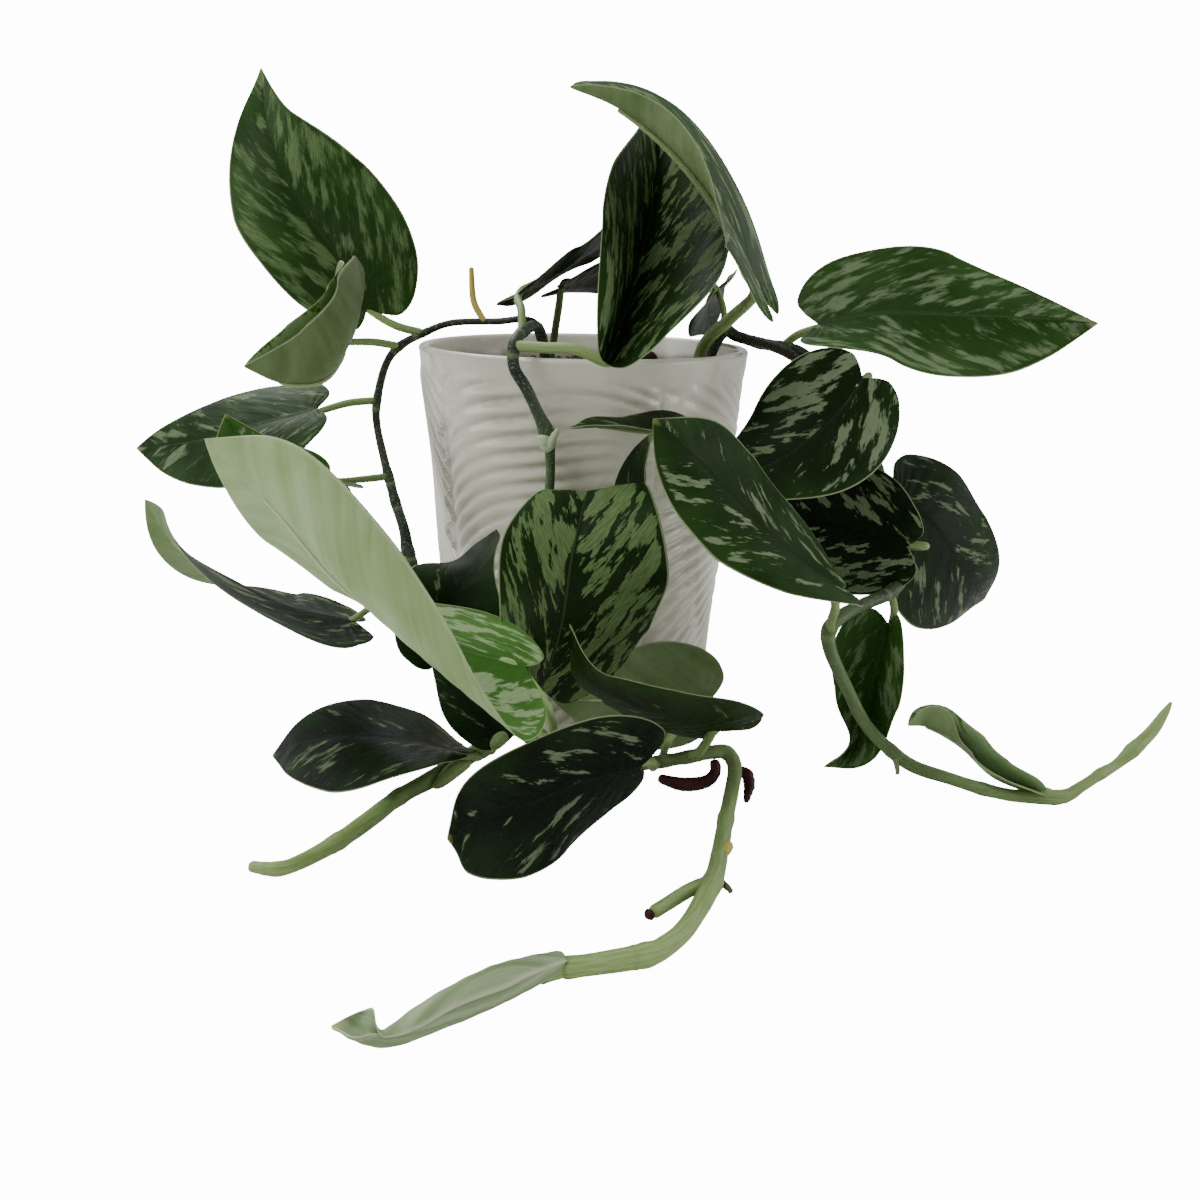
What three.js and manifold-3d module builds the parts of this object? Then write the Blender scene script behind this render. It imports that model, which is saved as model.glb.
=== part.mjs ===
// A satin pothos in its ceramic pot, as a three.js scene graph.
//
// Millimetres, +Z up, +X to the right and +Y away from the front. The origin is the
// centre of the pot's foot, on the surface that the pot stands on.
//
// The pot is a lathed wall, the soil fills it, three vines climb out of the soil, cross
// the rim and trail down to the surface, and every leaf is a blade on a stalk of its own.
// Each piece is one closed solid, and pieces that meet keep a gap of GAP.

import * as THREE from 'three';
import { mergeVertices } from 'three/addons/utils/BufferGeometryUtils.js';
import Module from 'manifold-3d';

const wasm = await Module();
wasm.setup();

// ---------------------------------------------------------------- driving dimensions

const GAP = 0.3;                 // clearance between pieces that touch

const POT_HEIGHT = 150;
const POT_TOP_RADIUS = 65;
const POT_FOOT_RADIUS = 52;
const POT_WALL = 4;
const POT_FLOOR = 5;
const LIP_ROUND = 1.6;           // radius of the lip's edges
const FOOT_ROUND = 2.5;          // radius of the foot's edge
const POT_SIDES = 48;

const SOIL_DROP = 11;            // soil surface below the rim
const SOIL_CROWN = 2;            // rise of the soil at the middle of the pot
const SOIL_SHOULDER = 0.6;       // the crown's bend, as a part of the soil's radius
const SHOULDER_RISE = 1.4;

const STEM_SIDES = 7;
const STEM_STEP = 10;            // length between two rings of a stem
const STALK_SIDES = 5;
const STALK_STEP = 10;

const HEEL_BACK = 0.07;          // where a stalk turns into its blade, behind the base
const HEEL_DROP = 0.04;          // and below it, in midrib lengths
const RIB_STATIONS = [0.02, 0.22, 0.44];   // the rib's points along the midrib
const RIB_START = 0.9;           // the rib's radius at the base, in stalk radii
const RIB_TAPER = 0.6;           // and what it loses along a whole midrib

const BLADE_THICKNESS = 0.7;
const BLADE_RAYS = 9;            // strips of one half blade, sinus to tip
const BLADE_BANDS = 3;           // strips of one half blade, midrib to margin
const RAY_LEAN = 0.6;            // how early a side vein turns towards the tip
const LEAST_CURL = 0.1;          // degrees, in place of none
const SMOOTHING = 0.03;          // detail finer than this is merged away
const MERGE = 1e-3;              // corners nearer than this are one

// ---------------------------------------------------------------- materials

function finish(color, roughness) {
  return new THREE.MeshStandardMaterial({ color, roughness, metalness: 0 });
}

const glaze = () => finish(0xe6e3df, 0.22);
const soilMix = () => finish(0x3a2c22, 0.95);
const stemSkin = () => finish(0x5c7048, 0.5);
const leafSkin = () => finish(0x2f4a28, 0.42);
const youngLeafSkin = () => finish(0x7d9468, 0.5);

// ---------------------------------------------------------------- solids

// A three.js geometry as a manifold solid, without the triangles that have shrunk to a
// line, such as those on a lathe's axis.
function solidOf(geometry) {
  const bare = geometry.clone();
  bare.deleteAttribute('normal');
  bare.deleteAttribute('uv');
  const merged = mergeVertices(bare, MERGE / 10);
  const corners = merged.index.array;
  const faces = [];
  for (let i = 0; i < corners.length; i += 3) {
    const [a, b, c] = corners.slice(i, i + 3);
    if (a !== b && b !== c && c !== a) faces.push(a, b, c);
  }
  const mesh = new wasm.Mesh({
    numProp: 3,
    vertProperties: Float32Array.from(merged.attributes.position.array),
    triVerts: Uint32Array.from(faces),
  });
  return new wasm.Manifold(mesh);
}

// A profile turned about the upright axis.
function turned(profile) {
  const geometry = new THREE.LatheGeometry(profile, POT_SIDES);
  return solidOf(geometry.rotateX(Math.PI / 2));
}

// A manifold solid as a three.js geometry. Of a solid whose pieces have left a crumb or a
// closed bubble, only the largest shell is kept.
function geometryOf(solid) {
  const mesh = solid.getMesh();
  const geometry = new THREE.BufferGeometry();
  geometry.setAttribute('position', new THREE.BufferAttribute(mesh.vertProperties, 3));
  geometry.setIndex(largestShell(mesh.triVerts, mesh.numVert));
  geometry.computeVertexNormals();
  return geometry;
}

// The corners of the connected set of triangles that has the most of them.
function largestShell(corners, count) {
  const parent = Array.from({ length: count }, (_, i) => i);
  const root = (i) => {
    let top = i;
    while (parent[top] !== top) top = parent[top];
    parent[i] = top;
    return top;
  };
  for (let i = 0; i < corners.length; i += 3) {
    parent[root(corners[i])] = root(corners[i + 1]);
    parent[root(corners[i + 2])] = root(corners[i + 1]);
  }
  const shells = new Map();
  for (let i = 0; i < corners.length; i += 3) {
    const key = root(corners[i]);
    if (!shells.has(key)) shells.set(key, []);
    shells.get(key).push(corners[i], corners[i + 1], corners[i + 2]);
  }
  return [...shells.values()].sort((a, b) => b.length - a.length)[0];
}

// A solid as a named mesh of the part.
function addPiece(group, name, solid, material) {
  const mesh = new THREE.Mesh(geometryOf(solid.simplify(SMOOTHING)), material);
  mesh.name = name;
  group.add(mesh);
}

const vector = (p) => new THREE.Vector3(p[0], p[1], p[2]);

// A smooth curve through points, run at even speed.
function curveThrough(points) {
  return new THREE.CatmullRomCurve3(points.map(vector), false, 'catmullrom', 0.5);
}

// Linear look-up of the fourth number of each point along the curve's own parameter.
function radiusAt(points, t) {
  const place = t * (points.length - 1);
  const low = Math.min(Math.floor(place), points.length - 2);
  return THREE.MathUtils.lerp(points[low][3], points[low + 1][3], place - low);
}

// A closed tube of round rings through points [x, y, z, radius]. The radius follows the
// points, and swell is added to it everywhere.
function tube(points, sides, step, swell = 0) {
  const curve = curveThrough(points);
  const rings = Math.max(2, Math.round(curve.getLength() / step));
  const frames = curve.computeFrenetFrames(rings, false);
  const positions = [];
  const index = [];
  for (let i = 0; i <= rings; i++) {
    const t = curve.getUtoTmapping(i / rings);
    const centre = curve.getPoint(t);
    const radius = radiusAt(points, t) + swell;
    for (let k = 0; k < sides; k++) {
      const angle = (2 * Math.PI * k) / sides;
      const p = centre.clone()
        .addScaledVector(frames.normals[i], radius * Math.cos(angle))
        .addScaledVector(frames.binormals[i], radius * Math.sin(angle));
      positions.push(p.x, p.y, p.z);
    }
  }
  for (let i = 0; i < rings; i++) {
    for (let k = 0; k < sides; k++) {
      const a = i * sides + k;
      const b = i * sides + ((k + 1) % sides);
      index.push(a, b, b + sides, a, b + sides, a + sides);
    }
  }
  for (let k = 1; k < sides - 1; k++) {
    const last = rings * sides;
    index.push(0, k + 1, k);
    index.push(last, last + k, last + k + 1);
  }
  const geometry = new THREE.BufferGeometry();
  geometry.setAttribute('position', new THREE.Float32BufferAttribute(positions, 3));
  geometry.setIndex(index);
  return solidOf(geometry);
}

// ---------------------------------------------------------------- pot and soil

// Points of a quarter round, from one angle to the next, in degrees.
function quarterRound(x, y, radius, from, to) {
  const points = [];
  for (let i = 0; i <= 3; i++) {
    const angle = THREE.MathUtils.degToRad(from + ((to - from) * i) / 3);
    points.push(new THREE.Vector2(x + radius * Math.cos(angle), y + radius * Math.sin(angle)));
  }
  return points;
}

// Outer radius of the pot's wall at a height above the foot.
function potRadius(height) {
  return THREE.MathUtils.lerp(POT_FOOT_RADIUS, POT_TOP_RADIUS, height / POT_HEIGHT);
}

function innerRadius(height) {
  return potRadius(height) - POT_WALL;
}

function pot() {
  const top = POT_HEIGHT - LIP_ROUND;
  const profile = [
    new THREE.Vector2(0, 0),
    ...quarterRound(POT_FOOT_RADIUS - FOOT_ROUND, FOOT_ROUND, FOOT_ROUND, -90, 0),
    ...quarterRound(POT_TOP_RADIUS - LIP_ROUND, top, LIP_ROUND, 0, 90),
    ...quarterRound(POT_TOP_RADIUS - POT_WALL + LIP_ROUND, top, LIP_ROUND, 90, 180),
    new THREE.Vector2(innerRadius(POT_FLOOR), POT_FLOOR),
    new THREE.Vector2(0, POT_FLOOR),
  ];
  return turned(profile);
}

function soil() {
  const bottom = POT_FLOOR + GAP;
  const top = POT_HEIGHT - SOIL_DROP;
  const side = (height) => (innerRadius(height) - GAP) * Math.cos(Math.PI / POT_SIDES);
  const profile = [
    new THREE.Vector2(0, bottom),
    new THREE.Vector2(side(bottom), bottom),
    new THREE.Vector2(side(top), top),
    new THREE.Vector2(side(top) * SOIL_SHOULDER, top + SHOULDER_RISE),
    new THREE.Vector2(0, top + SOIL_CROWN),
  ];
  return turned(profile);
}

// The vines from their roots to their ends: [x, y, z, radius].
const vines = {
  vine_left: [
    [-14, -14, 128, 2], [-14, -14, 140, 2], [-17, -14, 156, 1.8], [-23, -12, 160, 1.4],
    [-33, -10, 159, 1.3], [-51, -9, 158, 1.3], [-62, -11, 154, 1.4], [-71, -14, 149, 1.6],
    [-76, -17, 142, 1.5], [-79, -21, 129, 1.6], [-79, -23, 120, 1.5], [-76, -27, 108, 1.6],
    [-74, -29, 101, 1.8], [-71, -33, 92, 1.9], [-67, -38, 82, 2.1], [-65, -42, 74, 2.4],
    [-60, -48, 61, 2.3], [-48, -54, 47, 2.3], [-35, -60, 30, 2.3], [-21, -67, 13, 2.3],
    [-6, -73, 4.5, 2.3], [8, -79, 4, 2.2], [17, -84, 5.7, 2.2], [28.6, -91, 11.1, 2.2],
    [41, -93, 14.6, 2.3], [49.4, -92, 16.2, 2.5], [54.8, -91, 15.6, 2.5],
    [57.4, -95, 12, 2.6], [55.8, -103, 6.8, 2.6], [52.4, -119, 4, 2.7],
    [48.3, -141.9, 3.8, 2.8], [44.2, -161.2, 3.8, 3.1], [35.4, -184.6, 3.6, 2.9],
    [28.3, -195.8, 3.8, 3], [22.7, -200.4, 3.9, 3.2], [10.3, -204.5, 3.8, 3.1],
    [-1.2, -207.2, 3.6, 2.6],
  ],
  vine_front: [
    [-12, -40, 128, 2], [-12, -40, 140, 2], [-15, -52, 159, 2], [-20, -66, 159, 2],
    [-22, -75, 155, 2], [-22, -76, 148, 2], [-18, -75, 141, 2], [-14, -72, 132, 2.1],
    [-11, -71, 125, 2.7], [-10, -70, 118, 1.8], [-10, -69, 107, 1.7], [-12, -70, 87, 1.8],
    [-13, -73, 66, 1.9], [-15, -77, 44, 2.1], [-18, -82, 29, 2.5], [-26, -88, 18.5, 2.9],
    [-40.7, -78, 5.2, 3.2], [-50.3, -92.6, 3.9, 3.2], [-59.7, -107.1, 3.6, 2.9],
    [-66.5, -123.8, 3.6, 3], [-73.8, -139.4, 3.4, 2.8], [-82.8, -152.3, 3, 2.4],
    [-89, -156.9, 3, 2.2], [-98, -155.4, 3, 1.8],
  ],
  vine_right: [
    [48, -4, 128, 2], [48, -4, 140, 2], [54, -6, 156, 2.2], [60, -10, 155, 2.2],
    [68, -14, 153, 2.1], [76, -18, 152, 2.2], [85, -22, 149, 2.2], [97, -28, 135, 2.2],
    [109, -34, 116, 2.2], [119, -42, 91, 2.3], [122, -50, 73, 2.4], [116, -58, 67, 2.4],
    [105, -67, 65, 2.4], [96, -73.5, 62.5, 2.6], [90.5, -78, 58.5, 2.6],
    [91, -80, 51, 2.4], [98, -80, 37, 2.3], [106, -80, 23, 2.3], [116, -80, 13, 2.4],
    [125.7, -79, 6.2, 2.5], [137.4, -81.9, 3.4, 2.3], [147.9, -89.8, 3, 2.3],
    [158.8, -95, 3, 2.3], [174, -95.1, 3.1, 2.5], [182.3, -92, 6, 2], [190, -88, 9, 2],
    [197, -84, 11, 1.9], [204, -80, 15, 2.5], [212, -76, 21, 2.3], [217, -73, 27, 1.6],
    [220, -71, 31, 0.5],
  ],
};

// Short growths on a vine, from its axis outward: a shoot, stubs, root nubs and sheaths.
const sideShoots = {
  vine_left: [
    [[-38, -10, 158.5, 1.4], [-41, -8, 162, 1.4], [-44, -6, 167, 1.5], [-44, -4, 176, 0.8]],
    [[45, -158, 3.2, 2], [37, -166, 4, 2.2], [30, -174.7, 4.5, 2], [24, -181.4, 4.5, 1.9]],
    [[58, -95, 10.5, 1.2], [63, -96, 8.5, 2.2], [63, -99, 5, 2.2], [62, -103, 2.6, 1.2]],
    [[50, -94, 14.5, 1.8], [49, -97, 9.5, 1.9], [40, -99, 7.5, 2.2], [30, -100, 9, 1.7]],
    [[46, -158, 3.2, 1.4], [49, -161, 2.2, 1], [50, -163, 1.6, 0.8]],
  ],
  vine_front: [
    [[-11, -71, 121, 1.4], [-10, -72.5, 125, 1.2], [-7.5, -73.5, 128, 0.7]],
    [[-38.5, -80, 6, 2.4], [-43.5, -89, 5.2, 2.6], [-47, -96, 4.2, 1.9], [-49, -99, 3.4, 0.8]],
  ],
  vine_right: [
    [[59, -9, 155.5, 1.6], [70, -18, 153, 1.9], [79, -24, 149.5, 1.9], [84, -28, 144, 1.2]],
    [[117, -80, 12, 1.2], [118, -83, 8, 1], [118, -85, 5.5, 0.7]],
  ],
};

// The leaves. stalk runs from the stem's axis towards the blade, and midrib from the
// blade's base to its tip. faces are the directions that the upper side looks in, base to
// tip. half holds the widths of the left and right half blade, fold the angles in degrees
// at which each leaves the midrib (at the base and at the tip), and curl the further turn
// to the margin. heel says how far behind and below the base the stalk bends into the
// blade, where that isn't the common one. A leaf from the soil stands in its own hole.
const leaves = [
  {
    name: 'leaf_01', from: 'vine_left', stalkRadius: 1.6,
    stalk: [[-62, -11, 154], [-73, -13, 157]],
    midrib: [[-83, -14, 163], [-96, -7, 184], [-111, 0, 204], [-122, 7, 226], [-126, 14, 251]],
    faces: [[0.2, -0.6, 0.8], [-0.6, -0.6, 0.5]],
    half: [29, 30], fold: [[14, 17], [12, 16]], curl: [-9, 3], heel: [0.02, 0.01],
  },
  {
    name: 'leaf_02', from: 'vine_left', stalkRadius: 1.5,
    stalk: [[-71, -14, 149], [-80, -21, 151]],
    midrib: [[-89, -30, 153], [-86, -50, 148], [-88, -71, 142], [-96, -91, 143], [-103, -110, 150]],
    faces: [[0.1, -0.7, 0.7], [-0.1, -0.2, 1]],
    half: [38, 35], fold: [[50, 60], [75, 75]], curl: [58, 40], heel: [0.03, 0.03],
  },
  {
    name: 'leaf_03', from: 'vine_left', stalkRadius: 1.5,
    stalk: [[-79, -21, 129], [-90, -24, 128]],
    midrib: [[-101, -29, 126], [-120, -29, 121], [-139, -27, 115], [-157, -24, 111], [-175, -18, 108]],
    faces: [[-0.6, -0.4, 0.7], [-0.8, -0.5, 0.3]],
    half: [26, 23], fold: [[11, 0], [12, 3]], curl: [-45, -19], heel: [0.02, 0.01],
  },
  {
    name: 'leaf_04', from: 'vine_front', stalkRadius: 1.6,
    stalk: [[-18, -82, 29], [-13, -98, 27], [-6, -129, 36], [-7, -149, 55]],
    midrib: [[-13, -152, 69], [-40, -159, 80], [-62, -165, 96], [-81, -163, 117], [-103, -151, 134]],
    faces: [[0.8, -0.1, 0.6], [0.8, 0.5, 0.4], [0.7, 0.7, -0.3]],
    half: [42, 38], fold: [[-37, 1], [-19, 8]], curl: [78, 25],
  },
  {
    name: 'leaf_05', from: 'vine_left', stalkRadius: 1.4,
    stalk: [[-74, -29, 101], [-81, -35, 101]],
    midrib: [[-88, -42, 100], [-102, -50, 104], [-111, -62, 111], [-116, -75, 121], [-117, -87, 132]],
    faces: [[0.4, -0.1, -0.9], [0.3, -0.7, -0.7]],
    half: [19, 19], fold: [[13, 14], [15, 16]], curl: [-4, -15],
  },
  {
    name: 'leaf_06', from: 'vine_left', stalkRadius: 1.5,
    stalk: [[-65, -42, 74], [-70, -54, 63]],
    midrib: [[-83, -61, 52.5], [-103, -68, 59], [-124, -68, 69], [-145, -63, 80], [-160, -52, 95]],
    faces: [[0.7, 0.2, 0.7], [0.7, 0.3, 0.7], [0.1, 0.95, 0.1]],
    half: [29, 28], fold: [[-11, -15], [-14, -17]], curl: [18, 30], heel: [0.04, 0.03],
  },
  {
    name: 'leaf_07', from: 'vine_front', stalkRadius: 1.6,
    stalk: [[-15, -77, 44], [-15, -86, 37], [-13, -95, 36]],
    midrib: [[-11, -100, 42], [-4, -108, 66], [0, -104, 91], [4, -86, 108], [2, -66, 91]],
    faces: [[0.6, -0.6, -0.5], [0.3, -0.3, 0.9], [-0.3, 0.2, 1]],
    half: [27, 35], fold: [[4, -3], [23, 12]], curl: [-1, -16],
  },
  {
    name: 'leaf_08', from: 'vine_front', stalkRadius: 1.9,
    stalk: [[-22, -75, 155], [-11.5, -80, 155], [-1, -84, 155]],
    midrib: [[9, -88, 151], [16, -63, 169], [22, -41, 191], [26, -22, 216], [21, -7, 243]],
    faces: [[-0.2, -0.9, 0.3], [-0.1, -0.8, 0.6]],
    half: [40, 35], fold: [[95, 76], [41, 14]], curl: [-17, -19], heel: [0.02, 0],
  },
  {
    name: 'leaf_09', from: 'soil', stalkRadius: 2.3,
    stalk: [[44, -14, 128], [44, -14, 139], [46, -20, 152.5], [54, -37, 163.5]],
    midrib: [[62, -62, 172], [48, -61, 198], [31, -74, 216], [13, -94, 227], [-3, -118, 231]],
    faces: [[0.9, -0.2, 0.3], [0.7, -0.2, 0.7], [0.2, 0.6, 0.8]],
    half: [33, 33], fold: [[8, 21], [9, 23]], curl: [-21, -11], heel: [0.03, 0.02],
  },
  {
    name: 'leaf_10', from: 'vine_front', stalkRadius: 1.5,
    stalk: [[-20, -66, 159], [-21, -56, 166], [-23, -45, 169]],
    midrib: [[-23, -34, 170], [-9, -23, 178], [6, -16, 188], [20, -8, 198], [34, -1, 209]],
    faces: [[-0.8, -0.4, 0.5], [-0.9, 0, 0.3]],
    half: [23, 23], fold: [[10, 9], [8, 10]], curl: [-38, 11],
  },
  {
    name: 'leaf_11', from: 'vine_right', stalkRadius: 1.6,
    stalk: [[76, -18, 152], [82, -19, 157]],
    midrib: [[89, -20, 161], [114, -24, 165], [139, -29, 165], [164, -31, 165], [190, -32, 164]],
    faces: [[-0.6, -0.5, 0.6], [-0.5, -0.7, 0.5]],
    half: [33, 35], fold: [[9, -22], [12, -24]], curl: [2, 40],
  },
  {
    name: 'leaf_12', from: 'vine_right', stalkRadius: 1.5,
    stalk: [[97, -28, 135], [101, -38, 140], [103, -50, 145]],
    midrib: [[99, -59, 145], [88, -65, 132], [75, -70, 121], [59, -74, 113], [41, -78, 107]],
    faces: [[0.4, -0.5, 0.8], [0.3, -0.3, 0.9]],
    half: [24, 25], fold: [[-1, 9], [1, 9]], curl: [-20, -5],
  },
  {
    name: 'leaf_13', from: 'vine_right', stalkRadius: 1.6,
    stalk: [[91, -78, 58], [89, -87, 64], [88, -97, 73]],
    midrib: [[86, -105, 82], [68, -108, 96], [52, -111, 111], [37, -116, 126], [23, -128, 139]],
    faces: [[0.7, 0.1, 0.7], [0.8, -0.4, -0.5]],
    half: [28, 24], fold: [[13, -17], [12, -1]], curl: [-36, 20], heel: [0.03, 0.03],
  },
  {
    name: 'leaf_14', from: 'vine_right', stalkRadius: 1.5,
    stalk: [[120.5, -46, 82], [125, -52, 83], [127, -59, 85]],
    midrib: [[120, -60, 85], [105, -50, 88], [91, -38, 90], [78, -25, 90], [66, -10, 89]],
    faces: [[-0.9, -0.4, -0.2], [-0.7, -0.3, 0.6]],
    half: [25, 25], fold: [[7, 10], [6, 6]], curl: [0, -24],
  },
  {
    name: 'leaf_15', from: 'vine_right', stalkRadius: 1.6,
    stalk: [[112, -36, 109], [117, -31, 104]],
    midrib: [[122, -28, 98], [140, -25, 83], [154, -16, 65], [167, -1, 52], [177, 20, 42]],
    faces: [[0.7, -0.7, -0.1], [0.7, -0.5, -0.6]],
    half: [29, 33], fold: [[-2, 1], [1, 1]], curl: [-29, -8],
  },
  {
    name: 'leaf_16', from: 'vine_right', stalkRadius: 1.5,
    stalk: [[116, -58, 67], [118, -58, 60]],
    midrib: [[117, -56, 54], [114, -59, 39], [110, -64, 25], [105, -71, 12], [93, -74, 3]],
    faces: [[-0.6, -0.4, 0.7], [-0.2, -0.9, -0.3]],
    half: [19, 21], fold: [[30, 39], [41, 60]], curl: [0, 29],
  },
  {
    name: 'leaf_17', from: 'vine_right', stalkRadius: 1.4,
    stalk: [[172, -95, 3], [169, -94.5, 5]],
    midrib: [[164.5, -92.6, 4.2], [152, -86.4, 7.5], [140.9, -82.2, 16.4], [128.4, -82.1, 23.3], [117.8, -91.9, 28]],
    faces: [[0.3, -0.8, 0.5], [-0.7, 0.1, 0.6]],
    half: [16, 16], fold: [[67, 54], [90, 90]], curl: [0, 0], heel: [0.03, 0.02],
  },
  {
    name: 'leaf_18', from: 'vine_right', stalkRadius: 1.3,
    stalk: [[103, -31, 126], [88, -40, 110], [62, -52, 104]],
    midrib: [[42, -72, 124], [31, -74, 127], [19, -76, 128], [8, -78, 129], [-3, -83, 129]],
    faces: [[0.7, -0.2, 0.7], [0.4, 0.2, 0.9]],
    half: [14, 14], fold: [[15, 18], [15, 15]], curl: [-4, -12],
  },
  {
    name: 'leaf_19', from: 'vine_front', stalkRadius: 1.4,
    stalk: [[-16.5, -79, 36], [-26, -84, 42], [-38, -89, 46]],
    midrib: [[-45, -89, 49], [-44, -90, 63], [-39, -87, 75], [-33, -79, 84], [-29, -67, 90]],
    faces: [[0.3, -0.7, -0.6], [-0.4, 0.3, 0.9]],
    half: [19, 18], fold: [[10, 9], [10, 9]], curl: [-7, -7],
  },
  {
    name: 'leaf_20', from: 'vine_front', stalkRadius: 1.2,
    stalk: [[-33, -82, 11], [-29, -88, 13]],
    midrib: [[-27, -89, 19], [-33, -89, 27], [-39, -87, 34], [-45, -83, 40], [-52, -77.5, 45.5]],
    faces: [[-0.3, -0.9, 0.2], [-0.2, -0.9, 0.3]],
    half: [11, 11], fold: [[6, 6], [6, 6]], curl: [5, 5],
  },
  {
    name: 'leaf_21', from: 'vine_front', stalkRadius: 1.5,
    stalk: [[-41, -76, 4], [-34, -84, 9]],
    midrib: [[-41, -95, 15], [-61, -92, 19], [-80, -90, 19], [-98, -85, 14], [-112, -76, 4]],
    faces: [[-0.4, 0.3, 0.9], [-0.3, -0.7, 0.7]],
    half: [28, 24], fold: [[17, 4], [4, 1]], curl: [-49, -8],
  },
  {
    name: 'leaf_22', from: 'vine_left', stalkRadius: 1.6,
    stalk: [[30, -92, 11.5], [28, -101, 14], [27, -110, 20]],
    midrib: [[23, -126, 26], [5, -144, 29], [-12, -161, 29], [-27, -180, 32], [-30, -203, 39]],
    faces: [[0.6, -0.7, -0.3], [0.8, -0.5, 0.4]],
    half: [27, 23], fold: [[-12, -2], [-4, 2]], curl: [8, 18],
  },
  {
    name: 'leaf_23', from: 'vine_left', stalkRadius: 1.9,
    stalk: [[41, -93, 14.6], [45, -97, 19]],
    midrib: [[51, -98, 27], [38, -110, 36], [21, -119, 44], [5, -123, 55], [-1, -123, 73]],
    faces: [[-0.1, -1, -0.3], [0.2, -0.7, -0.7], [-0.9, -0.4, 0.3]],
    half: [24, 25], fold: [[-17, -26], [18, 13]], curl: [-14, -3], heel: [0.03, 0.02],
  },
  {
    name: 'leaf_24', from: 'vine_left', stalkRadius: 1.4,
    stalk: [[31, -92, 12], [36, -83, 19], [46, -71, 23]],
    midrib: [[51.7, -60, 24.3], [35.6, -64, 24.7], [18.5, -69, 26.3], [3.8, -74, 28], [-8, -79, 29.6]],
    faces: [[-0.5, 0.9, 0.1], [-0.5, 0.9, 0.1]],
    half: [23, 23], fold: [[11, 10], [11, 10]], curl: [-7, -6],
  },
  {
    name: 'leaf_25', from: 'vine_front', stalkRadius: 1.2,
    stalk: [[-12, -70, 87], [0, -73, 80], [12, -76, 74]],
    midrib: [[21.6, -73.5, 80.3], [21, -74, 92.5], [21, -75, 104.5], [22.6, -82, 117.9], [24.8, -94, 129.9]],
    faces: [[-0.6, -0.7, 0.4], [-0.7, -0.5, 0.5]],
    half: [12, 12], fold: [[12, 11], [12, 12]], curl: [-3, -7],
  },
  {
    name: 'leaf_26', from: 'soil', stalkRadius: 1.5,
    stalk: [[-14, 4, 128], [-14, 4, 139], [-12, 0, 152], [-10, -6, 164]],
    midrib: [[-9, -10, 172], [6, 0, 176], [20, 10, 179], [33, 22, 182], [46, 33, 186]],
    faces: [[0.7, 0.1, -0.7], [0.9, -0.2, -0.5]],
    half: [20, 20], fold: [[2, 3], [1, 4]], curl: [-8, -18],
  },
  {
    name: 'leaf_27', from: 'vine_right', stalkRadius: 1.2,
    stalk: [[54, -6, 156], [54, -9, 165]],
    midrib: [[52, -5, 173], [50, 7, 168], [50, 19, 164], [52, 31, 159], [55, 42, 153]],
    faces: [[0.7, -0.6, -0.4], [0.7, -0.6, -0.4]],
    half: [15, 15], fold: [[9, 9], [10, 10]], curl: [-26, -8],
  },
  {
    name: 'leaf_28', from: 'vine_left', stalkRadius: 1.8,
    stalk: [[2, -206, 3], [-1, -207, 3]],
    midrib: [[-4, -210, 2.5], [-16, -220, 1.8], [-29, -230, 1.6], [-42, -238, 1.8], [-54, -238, 7]],
    faces: [[0.1, 0.2, 1], [0.2, 0.3, 0.9]],
    half: [15, 15], fold: [[5, 5], [5, 5]], curl: [165, 165], young: true,
  },
];

// ---------------------------------------------------------------- stems

// A vine with its short growths, as one solid.
function stem(name, swell = 0) {
  let solid = tube(vines[name], STEM_SIDES, STEM_STEP, swell);
  for (const side of sideShoots[name]) {
    solid = solid.add(tube(side, STALK_SIDES, STALK_STEP, swell));
  }
  return solid;
}

// Each vine swollen by the gap: what is taken out of the soil and of the stalks.
const stemHoles = {};
for (const name of Object.keys(vines)) stemHoles[name] = stem(name, GAP);

// ---------------------------------------------------------------- blades

// Half a heart-shaped blade, flat. Each entry is a ray from the midrib to the margin:
// where it meets the margin along the midrib (in midrib lengths) and across it (in half
// widths), and where it leaves the midrib.
const MARGIN = [
  [0, 0, 0],
  [-0.05, 0.18, 0],
  [-0.07, 0.38, 0.01],
  [-0.02, 0.66, 0.03],
  [0.1, 0.9, 0.07],
  [0.27, 1, 0.15],
  [0.46, 0.94, 0.28],
  [0.65, 0.72, 0.45],
  [0.82, 0.42, 0.65],
  [0.93, 0.17, 0.83],
  [1, 0, 1],
];

// The same for the young blade, whose rays run straight across, with a neck near its tip.
const YOUNG_MARGIN = [
  [-0.04, 0.62, -0.04],
  [0.1, 0.85, 0.1],
  [0.25, 1, 0.25],
  [0.45, 0.92, 0.45],
  [0.65, 0.68, 0.65],
  [0.8, 0.4, 0.8],
  [0.9, 0.42, 0.9],
  [1, 0.02, 1],
];

// The midrib's place and directions at a station: along it, out of the upper side, and
// to the left. Behind the base the midrib runs on straight.
function midribFrame(leaf, station) {
  const u = THREE.MathUtils.clamp(station, 0, 1);
  const point = leaf.midrib.getPointAt(u);
  const along = leaf.midrib.getTangentAt(u);
  point.addScaledVector(along, Math.min(station, 0) * leaf.length);
  const face = leaf.facing.getPoint(u);
  const up = face.addScaledVector(along, -face.dot(along)).normalize();
  const left = up.clone().cross(along);
  return { point, along, up, left };
}

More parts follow.
